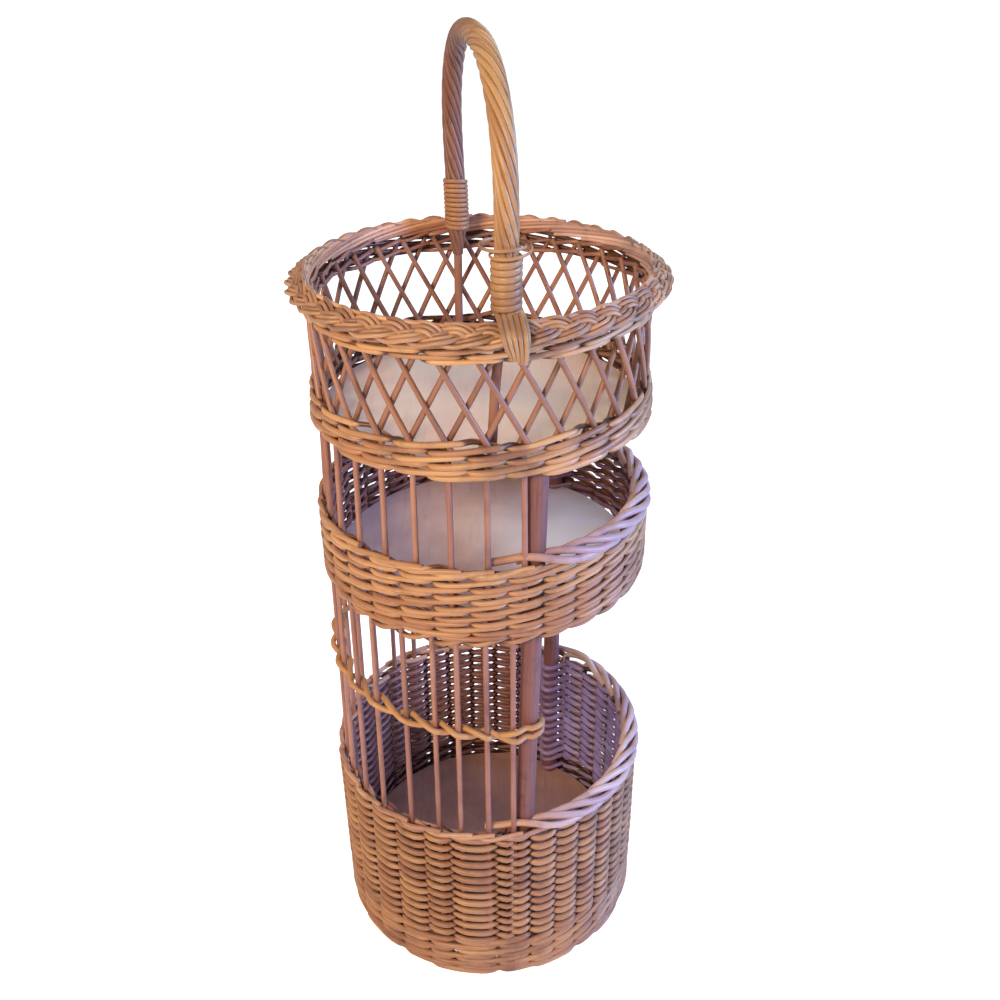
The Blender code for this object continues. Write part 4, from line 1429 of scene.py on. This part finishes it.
@dataclass(frozen=True)
class BowLine:
    """The bow's middle line: a superellipse on two legs, whose feet ease in to the axis by half a cosine."""

    front_azimuth: float = -82.0
    back_azimuth: float = 99.0
    arch_circle: float = 0.1560
    front_circle: float = 0.1485
    back_circle: float = 0.1335
    spring: float = 0.8150
    crown: float = 0.9494
    power: float = 2.5
    ease_top: float = 0.9000
    front_ease: float = 0.7665
    back_ease: float = 0.7622
    back_end: float = 0.7290
    leg_points: int = 60
    arch_points: int = 300
    tangent_step: float = 0.002

    @property
    def radial(self) -> Array:
        """Level direction away from the axis at the front foot."""
        return outward(self.front_azimuth)

    @property
    def across(self) -> Array:
        """Level direction across the arch."""
        return outward(self.front_azimuth + 90.0)

    @property
    def length(self) -> float:
        """The line's length."""
        return float(np.linalg.norm(np.diff(self.points(), axis=0), axis=1).sum())

    def points(self) -> Array:
        """Lay the line, from the front foot over the arch to the back end.

        Returns:
            Its fine points.
        """
        start = cylindrical(self.arch_circle, self.front_azimuth, 0.0)
        end = cylindrical(self.arch_circle, self.back_azimuth, 0.0)
        angle = np.linspace(0, np.pi, self.arch_points)
        along = np.sign(np.cos(angle)) * np.abs(np.cos(angle)) ** (2 / self.power)
        arch = (start + end) / 2 + (start - end) / 2 * along[:, None]
        arch[:, 2] = self.spring + (self.crown - self.spring) * np.sin(angle) ** (2 / self.power)
        front = np.repeat(start[None], self.leg_points, axis=0)
        front[:, 2] = np.linspace(self.front_ease, self.spring, self.leg_points, endpoint=False)
        back = np.repeat(end[None], self.leg_points, axis=0)
        back[:, 2] = np.linspace(self.spring, self.back_end, self.leg_points + 1)[1:]
        line = np.concatenate((front, arch, back))
        half_way = len(line) // 2
        for part, way, circle, height in (
                (slice(None, half_way), start, self.front_circle, self.front_ease),
                (slice(half_way, None), end, self.back_circle, self.back_ease)):
            share = np.clip((self.ease_top - line[part, 2]) / (self.ease_top - height), 0, 1)
            shift = (self.arch_circle - circle) * (1 - np.cos(np.pi * share)) / 2
            line[part] -= unit(way) * shift[:, None]
        return line

    def at(self, lengths: Array) -> tuple[Array, Array, Array]:
        """Find places on the line with the directions across it.

        Args:
            lengths: their lengths along the line.

        Returns:
            The places, and unit vectors out of the arch and sideways.
        """
        line = self.points()
        travelled = np.concatenate(([0], np.cumsum(np.linalg.norm(np.diff(line, axis=0), axis=1))))

        def between(where: Array) -> Array:
            """Places at lengths, straight between the line's points."""
            return np.stack([np.interp(where, travelled, line[:, axis]) for axis in range(3)], axis=-1)

        ahead, behind = between(lengths + self.tangent_step), between(lengths - self.tangent_step)
        tangents = unit(ahead - behind)
        out = unit(np.cross(self.across, tangents))
        return between(lengths), out, np.cross(tangents, out)


@dataclass
class TwistedRods:
    """The rods that are twisted round the bow, and whose front ends fan down over the border.

    Rod i winds round the line at the angle 2 pi (i / count - length / pitch). The fan's table gives, for each
    stop of a rod's end, its distance out from the plait's edge and up from its top, the share of the rods'
    spacing, a shift sideways, and the shares of the two layers' distance that it moves out and up.
    """

    line: BowLine
    rod: float = 0.0024
    circle: float = 0.0073
    pitch: float = 0.1700
    count: int = 10
    sides: int = 10
    samples: int = 260
    gather: float = 0.0240
    gather_close: float = 0.45
    gather_taper: float = 0.42
    tip_taper: float = 0.68
    plait_top: float = 0.7622
    plait_edge: float = 0.1752
    plait_gap: float = 0.0006
    fan_spacing: float = 0.0022
    fan_layer: float = 0.0016
    fan_stagger: float = 0.0006
    fan_skip: int = 3
    fan_steps: int = 6
    fan_start: tuple[float, float, float] = (0.001, 0.003, 0.94)
    fan: tuple[tuple[float, ...], ...] = (
        (-0.0176, 0.0010, 1.00, 0.0006, 0.0, 0.5), (-0.0086, -0.0042, 1.00, 0.0012, 0.0, 0.5),
        (-0.0018, -0.0112, 0.96, 0.0018, 0.5, 0.0), (-0.0022, -0.0195, 0.80, 0.0034, 1.0, 0.0),
        (-0.0062, -0.0305, 0.58, 0.0056, 1.0, 0.0))

    def ends(self, starts: Array) -> Array:
        """Lay the rods' front ends, in two layers.

        Args:
            starts: distances from the axis at which the rods come down on the border.

        Returns:
            Points from the binding to the tips, (rods, stops, 3).
        """
        slot = np.arange(self.count)
        slot = np.where(slot <= self.count // 2, slot, slot - self.count)[:, None]
        lateral = slot * self.fan_spacing
        layer = np.where(slot % 2 == 0, 1.0, -1.0) * self.fan_layer
        top = self.plait_top + self.rod + self.plait_gap
        edge = self.plait_edge + self.rod
        out, up, spread, shift, layer_out, layer_up = np.array(self.fan).T
        stops = np.stack((edge + out + layer_out * layer, spread * lateral + shift,
                          top + up + layer_up * layer), axis=-1)
        stops[:, -1, 2] -= self.fan_stagger * slot[:, 0]
        start_out, start_up, start_spread = self.fan_start
        first = np.stack((starts[:, None] + start_out, start_spread * lateral,
                          np.full_like(lateral, top + start_up)), axis=-1)
        ways = np.stack((self.line.radial, self.line.across, UP))
        return np.concatenate((first, stops), axis=1) @ ways

    def rods(self) -> Rods:
        """Lay the rods, from their fanned front ends to where they gather behind the wale.

        Returns:
            All rods.
        """
        total = self.line.length
        lengths = np.linspace(0, total, self.samples)
        places, out, side = self.line.at(lengths)
        turn = 2 * np.pi * (np.arange(self.count)[:, None] / self.count - lengths / self.pitch)
        offsets = np.cos(turn)[..., None] * out + np.sin(turn)[..., None] * side
        gather = np.clip((lengths - total) / self.gather + 1, 0, 1)
        circle = self.circle * (1 - self.gather_close * np.sin(np.pi / 2 * gather))
        twisted = (places + circle[:, None] * offsets)[:, self.fan_skip:]
        fan = self.ends(self.line.front_circle + self.circle * np.cos(turn[:, 0]))
        joined = np.concatenate((fan[:, ::-1], twisted[:, :1]), axis=1)
        lead = smooth_route(joined, self.fan_steps)[:, :-self.fan_steps]
        points = np.concatenate((lead, twisted), axis=1)
        taper = np.interp(np.arange(points.shape[1]), (0, lead.shape[1]), (self.tip_taper, 1.0))
        below = np.clip((np.linspace(0, 1, points.shape[1]) - 1) * total / self.gather + 1, 0, 1)
        radii = self.rod * taper * (1 - self.gather_taper * below)
        return Rods(points, radii[None], self.line.across, sides=self.sides)


@dataclass
class BowCore:
    """The bow's core rod, with a thicker liner inside the lattice at each end.

    The liners' stops are circle, azimuth and height. Their shares are how much of the rod each takes.
    """

    line: BowLine
    rod: float = 0.0026
    sides: int = 12
    inset: float = 0.004
    samples: int = 90
    stride: int = 6
    liner: float = 0.0042
    liner_shares: tuple[float, float] = (0.19, 0.17)
    liner_step: float = 8.0
    front_liner: Route = ((0.1385, -87.0, 0.6310), (0.1385, -85.0, 0.7050), (0.1415, -83.0, 0.7460))
    back_liner: Route = ((0.1345, 99.0, 0.7200), (0.1385, 99.0, 0.6800), (0.1385, 99.0, 0.6310))

    def rods(self) -> Rods:
        """Lay the core, from the front liner over the arch to the back liner.

        Returns:
            The one rod.
        """
        lengths = np.linspace(self.inset, self.line.length - self.inset, self.samples)[::self.stride]
        front, back = (cylindrical(*np.array(stops).T) for stops in (self.front_liner, self.back_liner))
        stops = np.concatenate((front, self.line.at(lengths)[0], back))
        points = smooth_route(stops, self.stride)[None]
        share = np.linspace(0, 1, points.shape[1])
        ends = np.maximum(1 - share / self.liner_shares[0], 1 - (1 - share) / self.liner_shares[1])
        radii = self.rod + (self.liner - self.rod) * np.clip(ends * self.liner_step, 0, 1)
        return Rods(points, radii[None], self.line.across, sides=self.sides)


@dataclass
class BowBindings:
    """The bindings that are wound round the rods of the bow, over both its feet.

    The front one ends in two thin loose loops, of which the last bulges out by a squared sine, and in a tail
    that curls away as a parabola.
    """

    line: BowLine
    bundle: float
    rod: float = 0.0021
    sides: int = 10
    flatness: float = 0.62
    loop_points: int = 30
    back_foot: float = 0.0265
    back_loops: int = 11
    back_pitch: float = 0.0043
    front_foot: float = 0.0005
    front_rod: float = 0.0028
    front_sides: int = 12
    front_flatness: float = 0.5
    front_loops: int = 7
    front_pitch: float = 0.0058
    front_gap: float = 0.0002
    loose_rod: float = 0.0014
    loose_pitch: float = 0.0062
    loose_gaps: tuple[float, float] = (0.0028, 0.0012)
    thinning: float = 0.5
    bulge: float = 0.0125
    tail: float = 0.0140
    tail_curl: float = 0.5
    tail_points: int = 12

    @property
    def tight(self) -> float:
        """The radius of a winding that lies on the rods."""
        return self.bundle + self.rod * self.flatness

    def winding(self, foot: float, pitches: Array, circles: Array) -> Array:
        """Wind a rod round the line.

        Args:
            foot: length along the line at which it starts.
            pitches: how far each loop climbs.
            circles: the winding's radius at the ends of the loops.

        Returns:
            The winding's points.
        """
        loops = np.arange(len(pitches) * self.loop_points + 1) / self.loop_points
        marks = np.arange(len(pitches) + 1)
        climb = np.interp(loops, marks, np.concatenate(([0], np.cumsum(pitches))))
        places, out, side = self.line.at(foot + climb)
        angle = 2 * np.pi * loops
        reach = np.interp(loops, marks, circles)
        return places + reach[:, None] * (np.cos(angle)[:, None] * out + np.sin(angle)[:, None] * side)

    def front(self) -> Rods:
        """Lay the front binding with its loose loops and tail.

        Returns:
            The one rod.
        """
        loops = self.front_loops
        pitches = np.array([self.front_pitch] * loops + [self.loose_pitch] * len(self.loose_gaps))
        gaps = np.array([self.front_gap] * (loops + 1) + list(self.loose_gaps))
        points = self.winding(self.front_foot, pitches, self.tight + gaps)
        away = points - self.line.at(np.array(self.front_foot + pitches.sum()))[0]
        away[:, 2] = 0
        last = np.clip(np.arange(len(points)) / self.loop_points - (loops + 1), 0, 1)
        points = points + unit(away) * (self.bulge * np.sin(np.pi * last) ** 2)[:, None]
        steps = np.linspace(0, 1, self.tail_points + 1)[1:, None]
        curl = self.tail_curl * steps ** 2 * self.line.radial
        points = np.concatenate((points, points[-1] + self.tail * (steps * self.line.across - curl)))
        turns = np.arange(len(points)) / self.loop_points
        radii = np.interp(turns, (loops, loops + self.thinning), (self.front_rod, self.loose_rod))
        return Rods(points[None], radii[None], UP, sides=self.front_sides, flatness=self.front_flatness)

    def back(self) -> Rods:
        """Lay the back binding, from its top down.

        Returns:
            The one rod.
        """
        pitches = np.full(self.back_loops, -self.back_pitch)
        points = self.winding(self.line.length - self.back_foot, pitches,
                              np.full(self.back_loops + 1, self.tight))
        return Rods(points[None], self.rod, UP, sides=self.sides, flatness=self.flatness)


@dataclass
class Handle:
    """The bow handle: ten twisted rods, the core and two bindings, all about one middle line."""

    line: BowLine = BowLine()
    nodes: int = 5

    def build(self, rng: Random) -> None:
        """Build and dress all its pieces. The core wears the frame's own plain brown.

        Args:
            rng: the seeded random draws.
        """
        twist = TwistedRods(self.line)
        twisted = twist.rods()
        share = twist.count // self.nodes
        for number in range(1, self.nodes + 1):
            pair = replace(twisted, paths=twisted.paths[share * (number - 1):share * number])
            add_piece(rods_mesh(f"bow_rods_{number}", [pair], rng), HANDLE.material(), Slot.GOLDEN,
                      f"handle_rod_{number}")
        add_piece(rods_mesh("bow_core", [BowCore(self.line).rods()], rng),
                  bpy.data.materials[Slot.BROWN.value], Slot.BROWN, "handle_core")
        bindings = BowBindings(self.line, bundle=twist.circle + twist.rod)
        for node, rods in (("front_binding", bindings.front()), ("back_binding", bindings.back())):
            add_piece(rods_mesh(f"{node}_wrap", [rods], rng), BINDING.material(), Slot.GOLDEN, node)


@dataclass(frozen=True)
class Pole:
    """How finely an upright is cut, and how unevenly thick it is."""

    points: int
    sides: int
    unevenness: float


@dataclass
class Uprights:
    """The two posts and the thin stakes, each in its frame node's place."""

    posts: list[Upright]
    stakes: list[Upright]
    thin: Pole = Pole(points=22, sides=10, unevenness=0.06)
    thick: Pole = Pole(points=60, sides=28, unevenness=0.03)
    bend: float = 0.0007

    def rod(self, upright: Upright, pole: Pole, rng: Random) -> Rods:
        """Lay one upright, which bows by a squared sine and thickens a little along its run.

        Args:
            upright: its place in the frame.
            pole: its cut.
            rng: the seeded random draws.

        Returns:
            The upright as a rod.
        """
        share = np.linspace(0, 1, pole.points)
        line = upright.foot + share[:, None] * (upright.head - upright.foot)
        radius = upright.foot_radius + share * (upright.head_radius - upright.foot_radius)
        around = outward(upright.azimuth(upright.foot[2]) + 90.0)
        bow = rng.uniform(-1, 1) * self.bend * np.sin(np.pi * share) ** 2
        swell = waver(rng, 1, share * 360, pole.unevenness)
        return Rods((line + bow[:, None] * around)[None], radius * (1 + swell), around, sides=pole.sides)

    def build(self, rng: Random) -> None:
        """Build and dress all uprights.

        Args:
            rng: the seeded random draws.
        """
        for stake in self.stakes:
            name = stake.node.replace("_stake_", "_willow_")
            mesh = rods_mesh(name, [self.rod(stake, self.thin, rng)], rng)
            add_piece(mesh, STAKE.material(), Slot.BROWN, stake.node)
        rosy = POST.material()
        for post in self.posts:
            mesh = rods_mesh(f"{post.node}_pole", [self.rod(post, self.thick, rng)], rng)
            add_piece(mesh, rosy, Slot.POST, post.node)


@dataclass
class GuardTwine:
    """The guard band: one rod, doubled round the front post and twined about the stakes of the gap.

    Turns are degrees round a post from outwards. Loop heights are shares of the eye, half the loop's height.
    """

    posts: list[Upright]
    stakes: list[Upright]
    front_height: float = 0.3450
    back_height: float = 0.3850
    crossing: float = 0.0028
    eye: float = 0.0054
    rod: float = 0.0029
    sides: int = 10
    gap: float = 0.0004
    first_crossing: float = 0.72
    link_share: float = 0.6
    loop_ease: float = 1.01
    loop_turns: tuple[float, ...] = (-30.0, 0.0, 45.0, 80.0, 96.0, 80.0, 45.0, 0.0, -30.0)
    loop_heights: tuple[float, ...] = (-1.0, -1.0, -0.85, -0.45, 0.0, 0.45, 0.85, 1.0, 1.0)
    outer_end: tuple[float, ...] = (0.0, -40.0)
    inner_end: tuple[float, ...] = (135.0, 180.0, 220.0)
    steps: int = 6
    taper: float = 0.08
    taper_degrees: float = 2000.0

    def round_post(self, post: Upright, height: float, turns: tuple[float, ...], ease: float = 1.0) -> Array:
        """Lay stops round a post.

        Args:
            post: the post.
            height: their height.
            turns: their turns round it.
            ease: how many times the tight distance they keep.

        Returns:
            The stops.
        """
        reach = (post.foot_radius + self.rod + self.gap) * ease
        return post.at(height) + reach * outward(post.azimuth(height) + np.array(turns))

    def one_way(self, sense: int) -> Array:
        """Lay one pass, which climbs evenly and lies outside one stake and inside the next.

        Half way between two stakes it crosses the other pass, over it or under it.

        Args:
            sense: 1 if it starts outside the first stake, -1 for the other pass.

        Returns:
            Stops from the first stake to the back post.
        """
        azimuth = np.array([stake.azimuth(self.front_height) % 360 for stake in self.stakes])
        span = azimuth[0] - self.stakes[-1].azimuth(self.back_height) % 360
        height = self.front_height + (azimuth[0] - azimuth) / span * (self.back_height - self.front_height)
        circle = np.array([stake.circle(level) for stake, level in zip(self.stakes, height)])
        side = sense * (-1.0) ** np.arange(len(self.stakes))
        offset = side * (np.array([stake.foot_radius for stake in self.stakes]) + self.rod + self.gap)
        stops = np.empty((2 * len(self.stakes) - 1, 3))
        stops[::2] = np.stack((circle + offset, azimuth, height), axis=-1)
        stops[1::2] = np.stack((circle[:-1], (azimuth[:-1] + azimuth[1:]) / 2,
                                height[:-1] + side[:-1] * self.crossing), axis=-1)
        stops[0] = circle[0] + abs(offset[0]), azimuth[0], height[0] - sense * self.eye
        turn = self.first_crossing * azimuth[1] + (1 - self.first_crossing) * azimuth[0]
        stops[1] = circle[0], turn, height[0] + sense * self.crossing / 2
        post = self.posts[1]
        link = cylindrical(
            (post.circle(self.back_height) + stops[-1, 0]) / 2,
            (1 - self.link_share) * post.azimuth(self.back_height) + self.link_share * stops[-1, 1],
            self.back_height + sense * self.crossing)
        turns = self.outer_end if side[-1] < 0 else self.inner_end
        ends = self.round_post(post, self.back_height, turns)
        return np.concatenate((cylindrical(*stops.T), link[None], ends))

    def stops(self) -> Array:
        """Lay the whole rod: from the back post to the front, round the front post, and back again.

        Returns:
            Its stops.
        """
        loop = self.round_post(self.posts[0], self.front_height, self.loop_turns, self.loop_ease)
        loop[:, 2] += self.eye * np.array(self.loop_heights)
        return np.concatenate((self.one_way(1)[::-1], loop, self.one_way(-1)))

    def build(self, rng: Random) -> None:
        """Build and dress the twine.

        Args:
            rng: the seeded random draws.
        """
        points = smooth_route(self.stops(), self.steps)[None]
        uneven = waver(rng, 1, np.linspace(0, self.taper_degrees, points.shape[1]), 1.0)
        rods = Rods(points, self.rod * (1 + self.taper * uneven), UP, sides=self.sides)
        add_piece(rods_mesh("guard_rod", [rods], rng), TWINE.material(), Slot.GOLDEN, "guard_twine")


@dataclass
class Board:
    """A round plywood floor: a disc of rings about two poles, with eased edges.

    Both faces dip by warp * |sin(2 a)| * (distance / radius)^2 at azimuth a.
    """

    node: str
    finish: BoardFinish
    slot: Slot
    reach: float
    rings: int = 24
    spokes: int = 128
    edge: float = 0.0006
    warp: float = 0.0003
    sharp_angle: float = 30.0

    def vertices(self) -> Array:
        """Turn the board's profile round the axis, inside its node's box.

        Returns:
            Points of the rings, from the top's middle over the rim to the bottom's, and of the two poles.
        """
        low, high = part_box(self.node)
        radius = (high.x - low.x) / 2 + self.reach
        face = radius * np.linspace(0, 1, self.rings)[1:]
        face[-1] -= self.edge
        distance = np.concatenate((face, (radius, radius), face[::-1]))
        level = np.concatenate((np.full(len(face), high.z), (high.z - self.edge, low.z + self.edge),
                                np.full(len(face), low.z)))
        angle = 2 * np.pi * np.arange(self.spokes) / self.spokes
        dip = self.warp * np.abs(np.sin(2 * angle)) * (distance[:, None] / radius) ** 2
        rings = np.stack((distance[:, None] * np.cos(angle), distance[:, None] * np.sin(angle),
                          level[:, None] - dip), axis=-1)
        return np.concatenate((rings.reshape(-1, 3), ((0.0, 0.0, high.z), (0.0, 0.0, low.z))))

    def faces(self, count: int) -> list[list[int]]:
        """Join the rings by quads, and the first and last ring to the poles by triangles.

        Args:
            count: how many vertices there are.

        Returns:
            The faces' corners.
        """
        last = count - 2 - self.spokes
        spoke = np.arange(self.spokes)
        turned = (spoke + 1) % self.spokes
        ring = np.arange(0, last, self.spokes)[:, None]
        lower = ring + self.spokes
        quads = np.stack((ring + spoke, lower + spoke, lower + turned, ring + turned), axis=-1)
        top = np.stack((np.full(self.spokes, count - 2), spoke, turned), axis=-1)
        bottom = np.stack((np.full(self.spokes, count - 1), last + turned, last + spoke), axis=-1)
        return quads.reshape(-1, 4).tolist() + top.tolist() + bottom.tolist()

    def build(self) -> None:
        """Build and dress the board."""
        vertices = self.vertices()
        mesh = bpy.data.meshes.new(f"{self.node}_board")
        mesh.from_pydata(vertices.tolist(), [], self.faces(len(vertices)))
        mesh.shade_smooth()
        mesh.set_sharp_from_angle(angle=np.radians(self.sharp_angle))
        add_piece(mesh, self.finish.material(), self.slot, self.node)


@dataclass(frozen=True)
class Lamp:
    """A square soft box."""

    name: str
    place: tuple[float, float, float]
    size: float
    power: float
    colour: Light


@dataclass
class Studio:
    """Camera, floor, lamps and background."""

    focal: float = 1058.26
    frame_width: float = 1000.0
    sensor: float = 36.0
    centre: tuple[float, float] = (489.37, 500.05)
    place: tuple[float, float, float] = (0.0, -0.92641, 1.04897)
    pitch: float = 29.97
    roll: float = -0.900
    yaw: float = 0.385
    lamps: tuple[Lamp, ...] = (
        Lamp("key", (-1.5, -2.3, 2.1), 0.9, 84.0, (1.0, 0.80, 0.54)),
        Lamp("side", (2.6, -0.5, 1.3), 0.8, 116.0, (0.26, 0.45, 1.0)),
        Lamp("back", (0.8, 2.4, 2.2), 1.6, 22.0, (1.0, 0.93, 0.74)))
    aim: tuple[float, float, float] = (0.0, 0.0, 0.5)
    floor_reach: float = 30.0
    floor_white: float = 0.9
    floor_roughness: float = 0.9
    floor_glow: float = 0.74
    ambient: float = 0.36
    ambient_colour: Light = (0.86, 0.90, 1.0)
    backdrop: float = 1.1

    def camera(self) -> None:
        """The camera, at the photograph's place and angle."""
        data = bpy.data.cameras.new("camera")
        data.sensor_width = self.sensor
        data.lens = self.focal * self.sensor / self.frame_width
        half = self.frame_width / 2
        data.shift_x = (half - self.centre[0]) / self.frame_width
        data.shift_y = (self.centre[1] - half) / self.frame_width
        pitch, yaw, roll = (np.radians(angle) for angle in (self.pitch, self.yaw, self.roll))
        forward = Vector((np.sin(yaw) * np.cos(pitch), np.cos(yaw) * np.cos(pitch), -np.sin(pitch)))
        level = forward.cross(Vector((0, 0, 1))).normalized()
        upright = level.cross(forward)
        right = level * np.cos(roll) + upright * np.sin(roll)
        up = upright * np.cos(roll) - level * np.sin(roll)
        camera = bpy.data.objects.new("camera", data)
        turn = Matrix((right, up, -forward)).transposed().to_4x4()
        camera.matrix_world = Matrix.Translation(self.place) @ turn
        bpy.context.scene.collection.objects.link(camera)
        bpy.context.scene.camera = camera

    def light(self, lamp: Lamp) -> None:
        """Hang a lamp, which faces the stand's middle.

        Args:
            lamp: the lamp.
        """
        data = bpy.data.lights.new(lamp.name, "AREA")
        data.size = lamp.size
        data.energy = lamp.power
        data.color = lamp.colour
        light = bpy.data.objects.new(lamp.name, data)
        light.location = lamp.place
        light.rotation_euler = (Vector(self.aim) - Vector(lamp.place)).to_track_quat("-Z", "Y").to_euler()
        bpy.context.scene.collection.objects.link(light)

    def floor(self) -> None:
        """A wide white floor that keeps the stand's shadow."""
        reach = self.floor_reach
        mesh = bpy.data.meshes.new("floor")
        mesh.from_pydata([(-reach, -reach, 0), (reach, -reach, 0), (reach, reach, 0), (-reach, reach, 0)], [],
                         [(0, 1, 2, 3)])
        floor = bpy.data.objects.new("floor", mesh)
        graph = Graph(bpy.data.materials.new("white_floor"))
        graph.shader.inputs["Base Color"].default_value = (*[self.floor_white] * 3, 1.0)
        graph.shader.inputs["Roughness"].default_value = self.floor_roughness
        graph.shader.inputs["Emission Color"].default_value = (1.0, 1.0, 1.0, 1.0)
        seen = graph.node("ShaderNodeLightPath", {}).outputs["Is Camera Ray"]
        graph.link(graph.times(seen, self.floor_glow), graph.shader.inputs["Emission Strength"])
        mesh.materials.append(graph.owner)
        bpy.context.scene.collection.objects.link(floor)

    def world(self) -> None:
        """A white background over a soft even light."""
        graph = Graph(bpy.data.worlds.new("world"), "Background")
        seen = graph.node("ShaderNodeLightPath", {}).outputs["Is Camera Ray"]
        strength = graph.node("ShaderNodeMapRange", {"Value": seen, "To Min": self.ambient,
                                                     "To Max": self.backdrop})
        colour = graph.mix(seen, (*self.ambient_colour, 1.0), (1.0, 1.0, 1.0, 1.0))
        graph.link(strength.outputs["Result"], graph.shader.inputs["Strength"])
        graph.link(colour, graph.shader.inputs["Color"])
        bpy.context.scene.world = graph.owner

    def build(self) -> None:
        """Set the stage up."""
        self.camera()
        self.floor()
        self.world()
        for lamp in self.lamps:
            self.light(lamp)
        bpy.context.scene.view_settings.view_transform = "Standard"


def main() -> None:
    """Load the frame, build every sub-assembly and set the stage."""
    logging.basicConfig(level=logging.INFO)
    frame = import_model()
    rng = np.random.default_rng(SEED)
    nodes = sorted(frame["nodes"])
    posts = [Upright.of(frame, name) for name in ("front_post", "back_post")]
    lower = [Upright.of(frame, name) for name in nodes if name.startswith("basket_stake_")]
    upper = [Upright.of(frame, name) for name in nodes if name.startswith("tray_stake_")]
    BottomBasket(posts, lower).build(rng)
    MiddleTray(posts, upper).build(rng)
    TopTray().build(rng)
    Plait().build(rng)
    Handle().build(rng)
    Uprights(posts, lower + upper).build(rng)
    GuardTwine(posts, lower).build(rng)
    for board in (Board("basket_floor", BOTTOM_BOARD, Slot.GREY, reach=0.0010),
                  Board("tray_floor", MIDDLE_BOARD, Slot.GREY, reach=0.0015),
                  Board("top_floor", TOP_BOARD, Slot.PALE, reach=0.0068)):
        board.build()
    Studio().build()


if __name__ == "__main__":
    main()
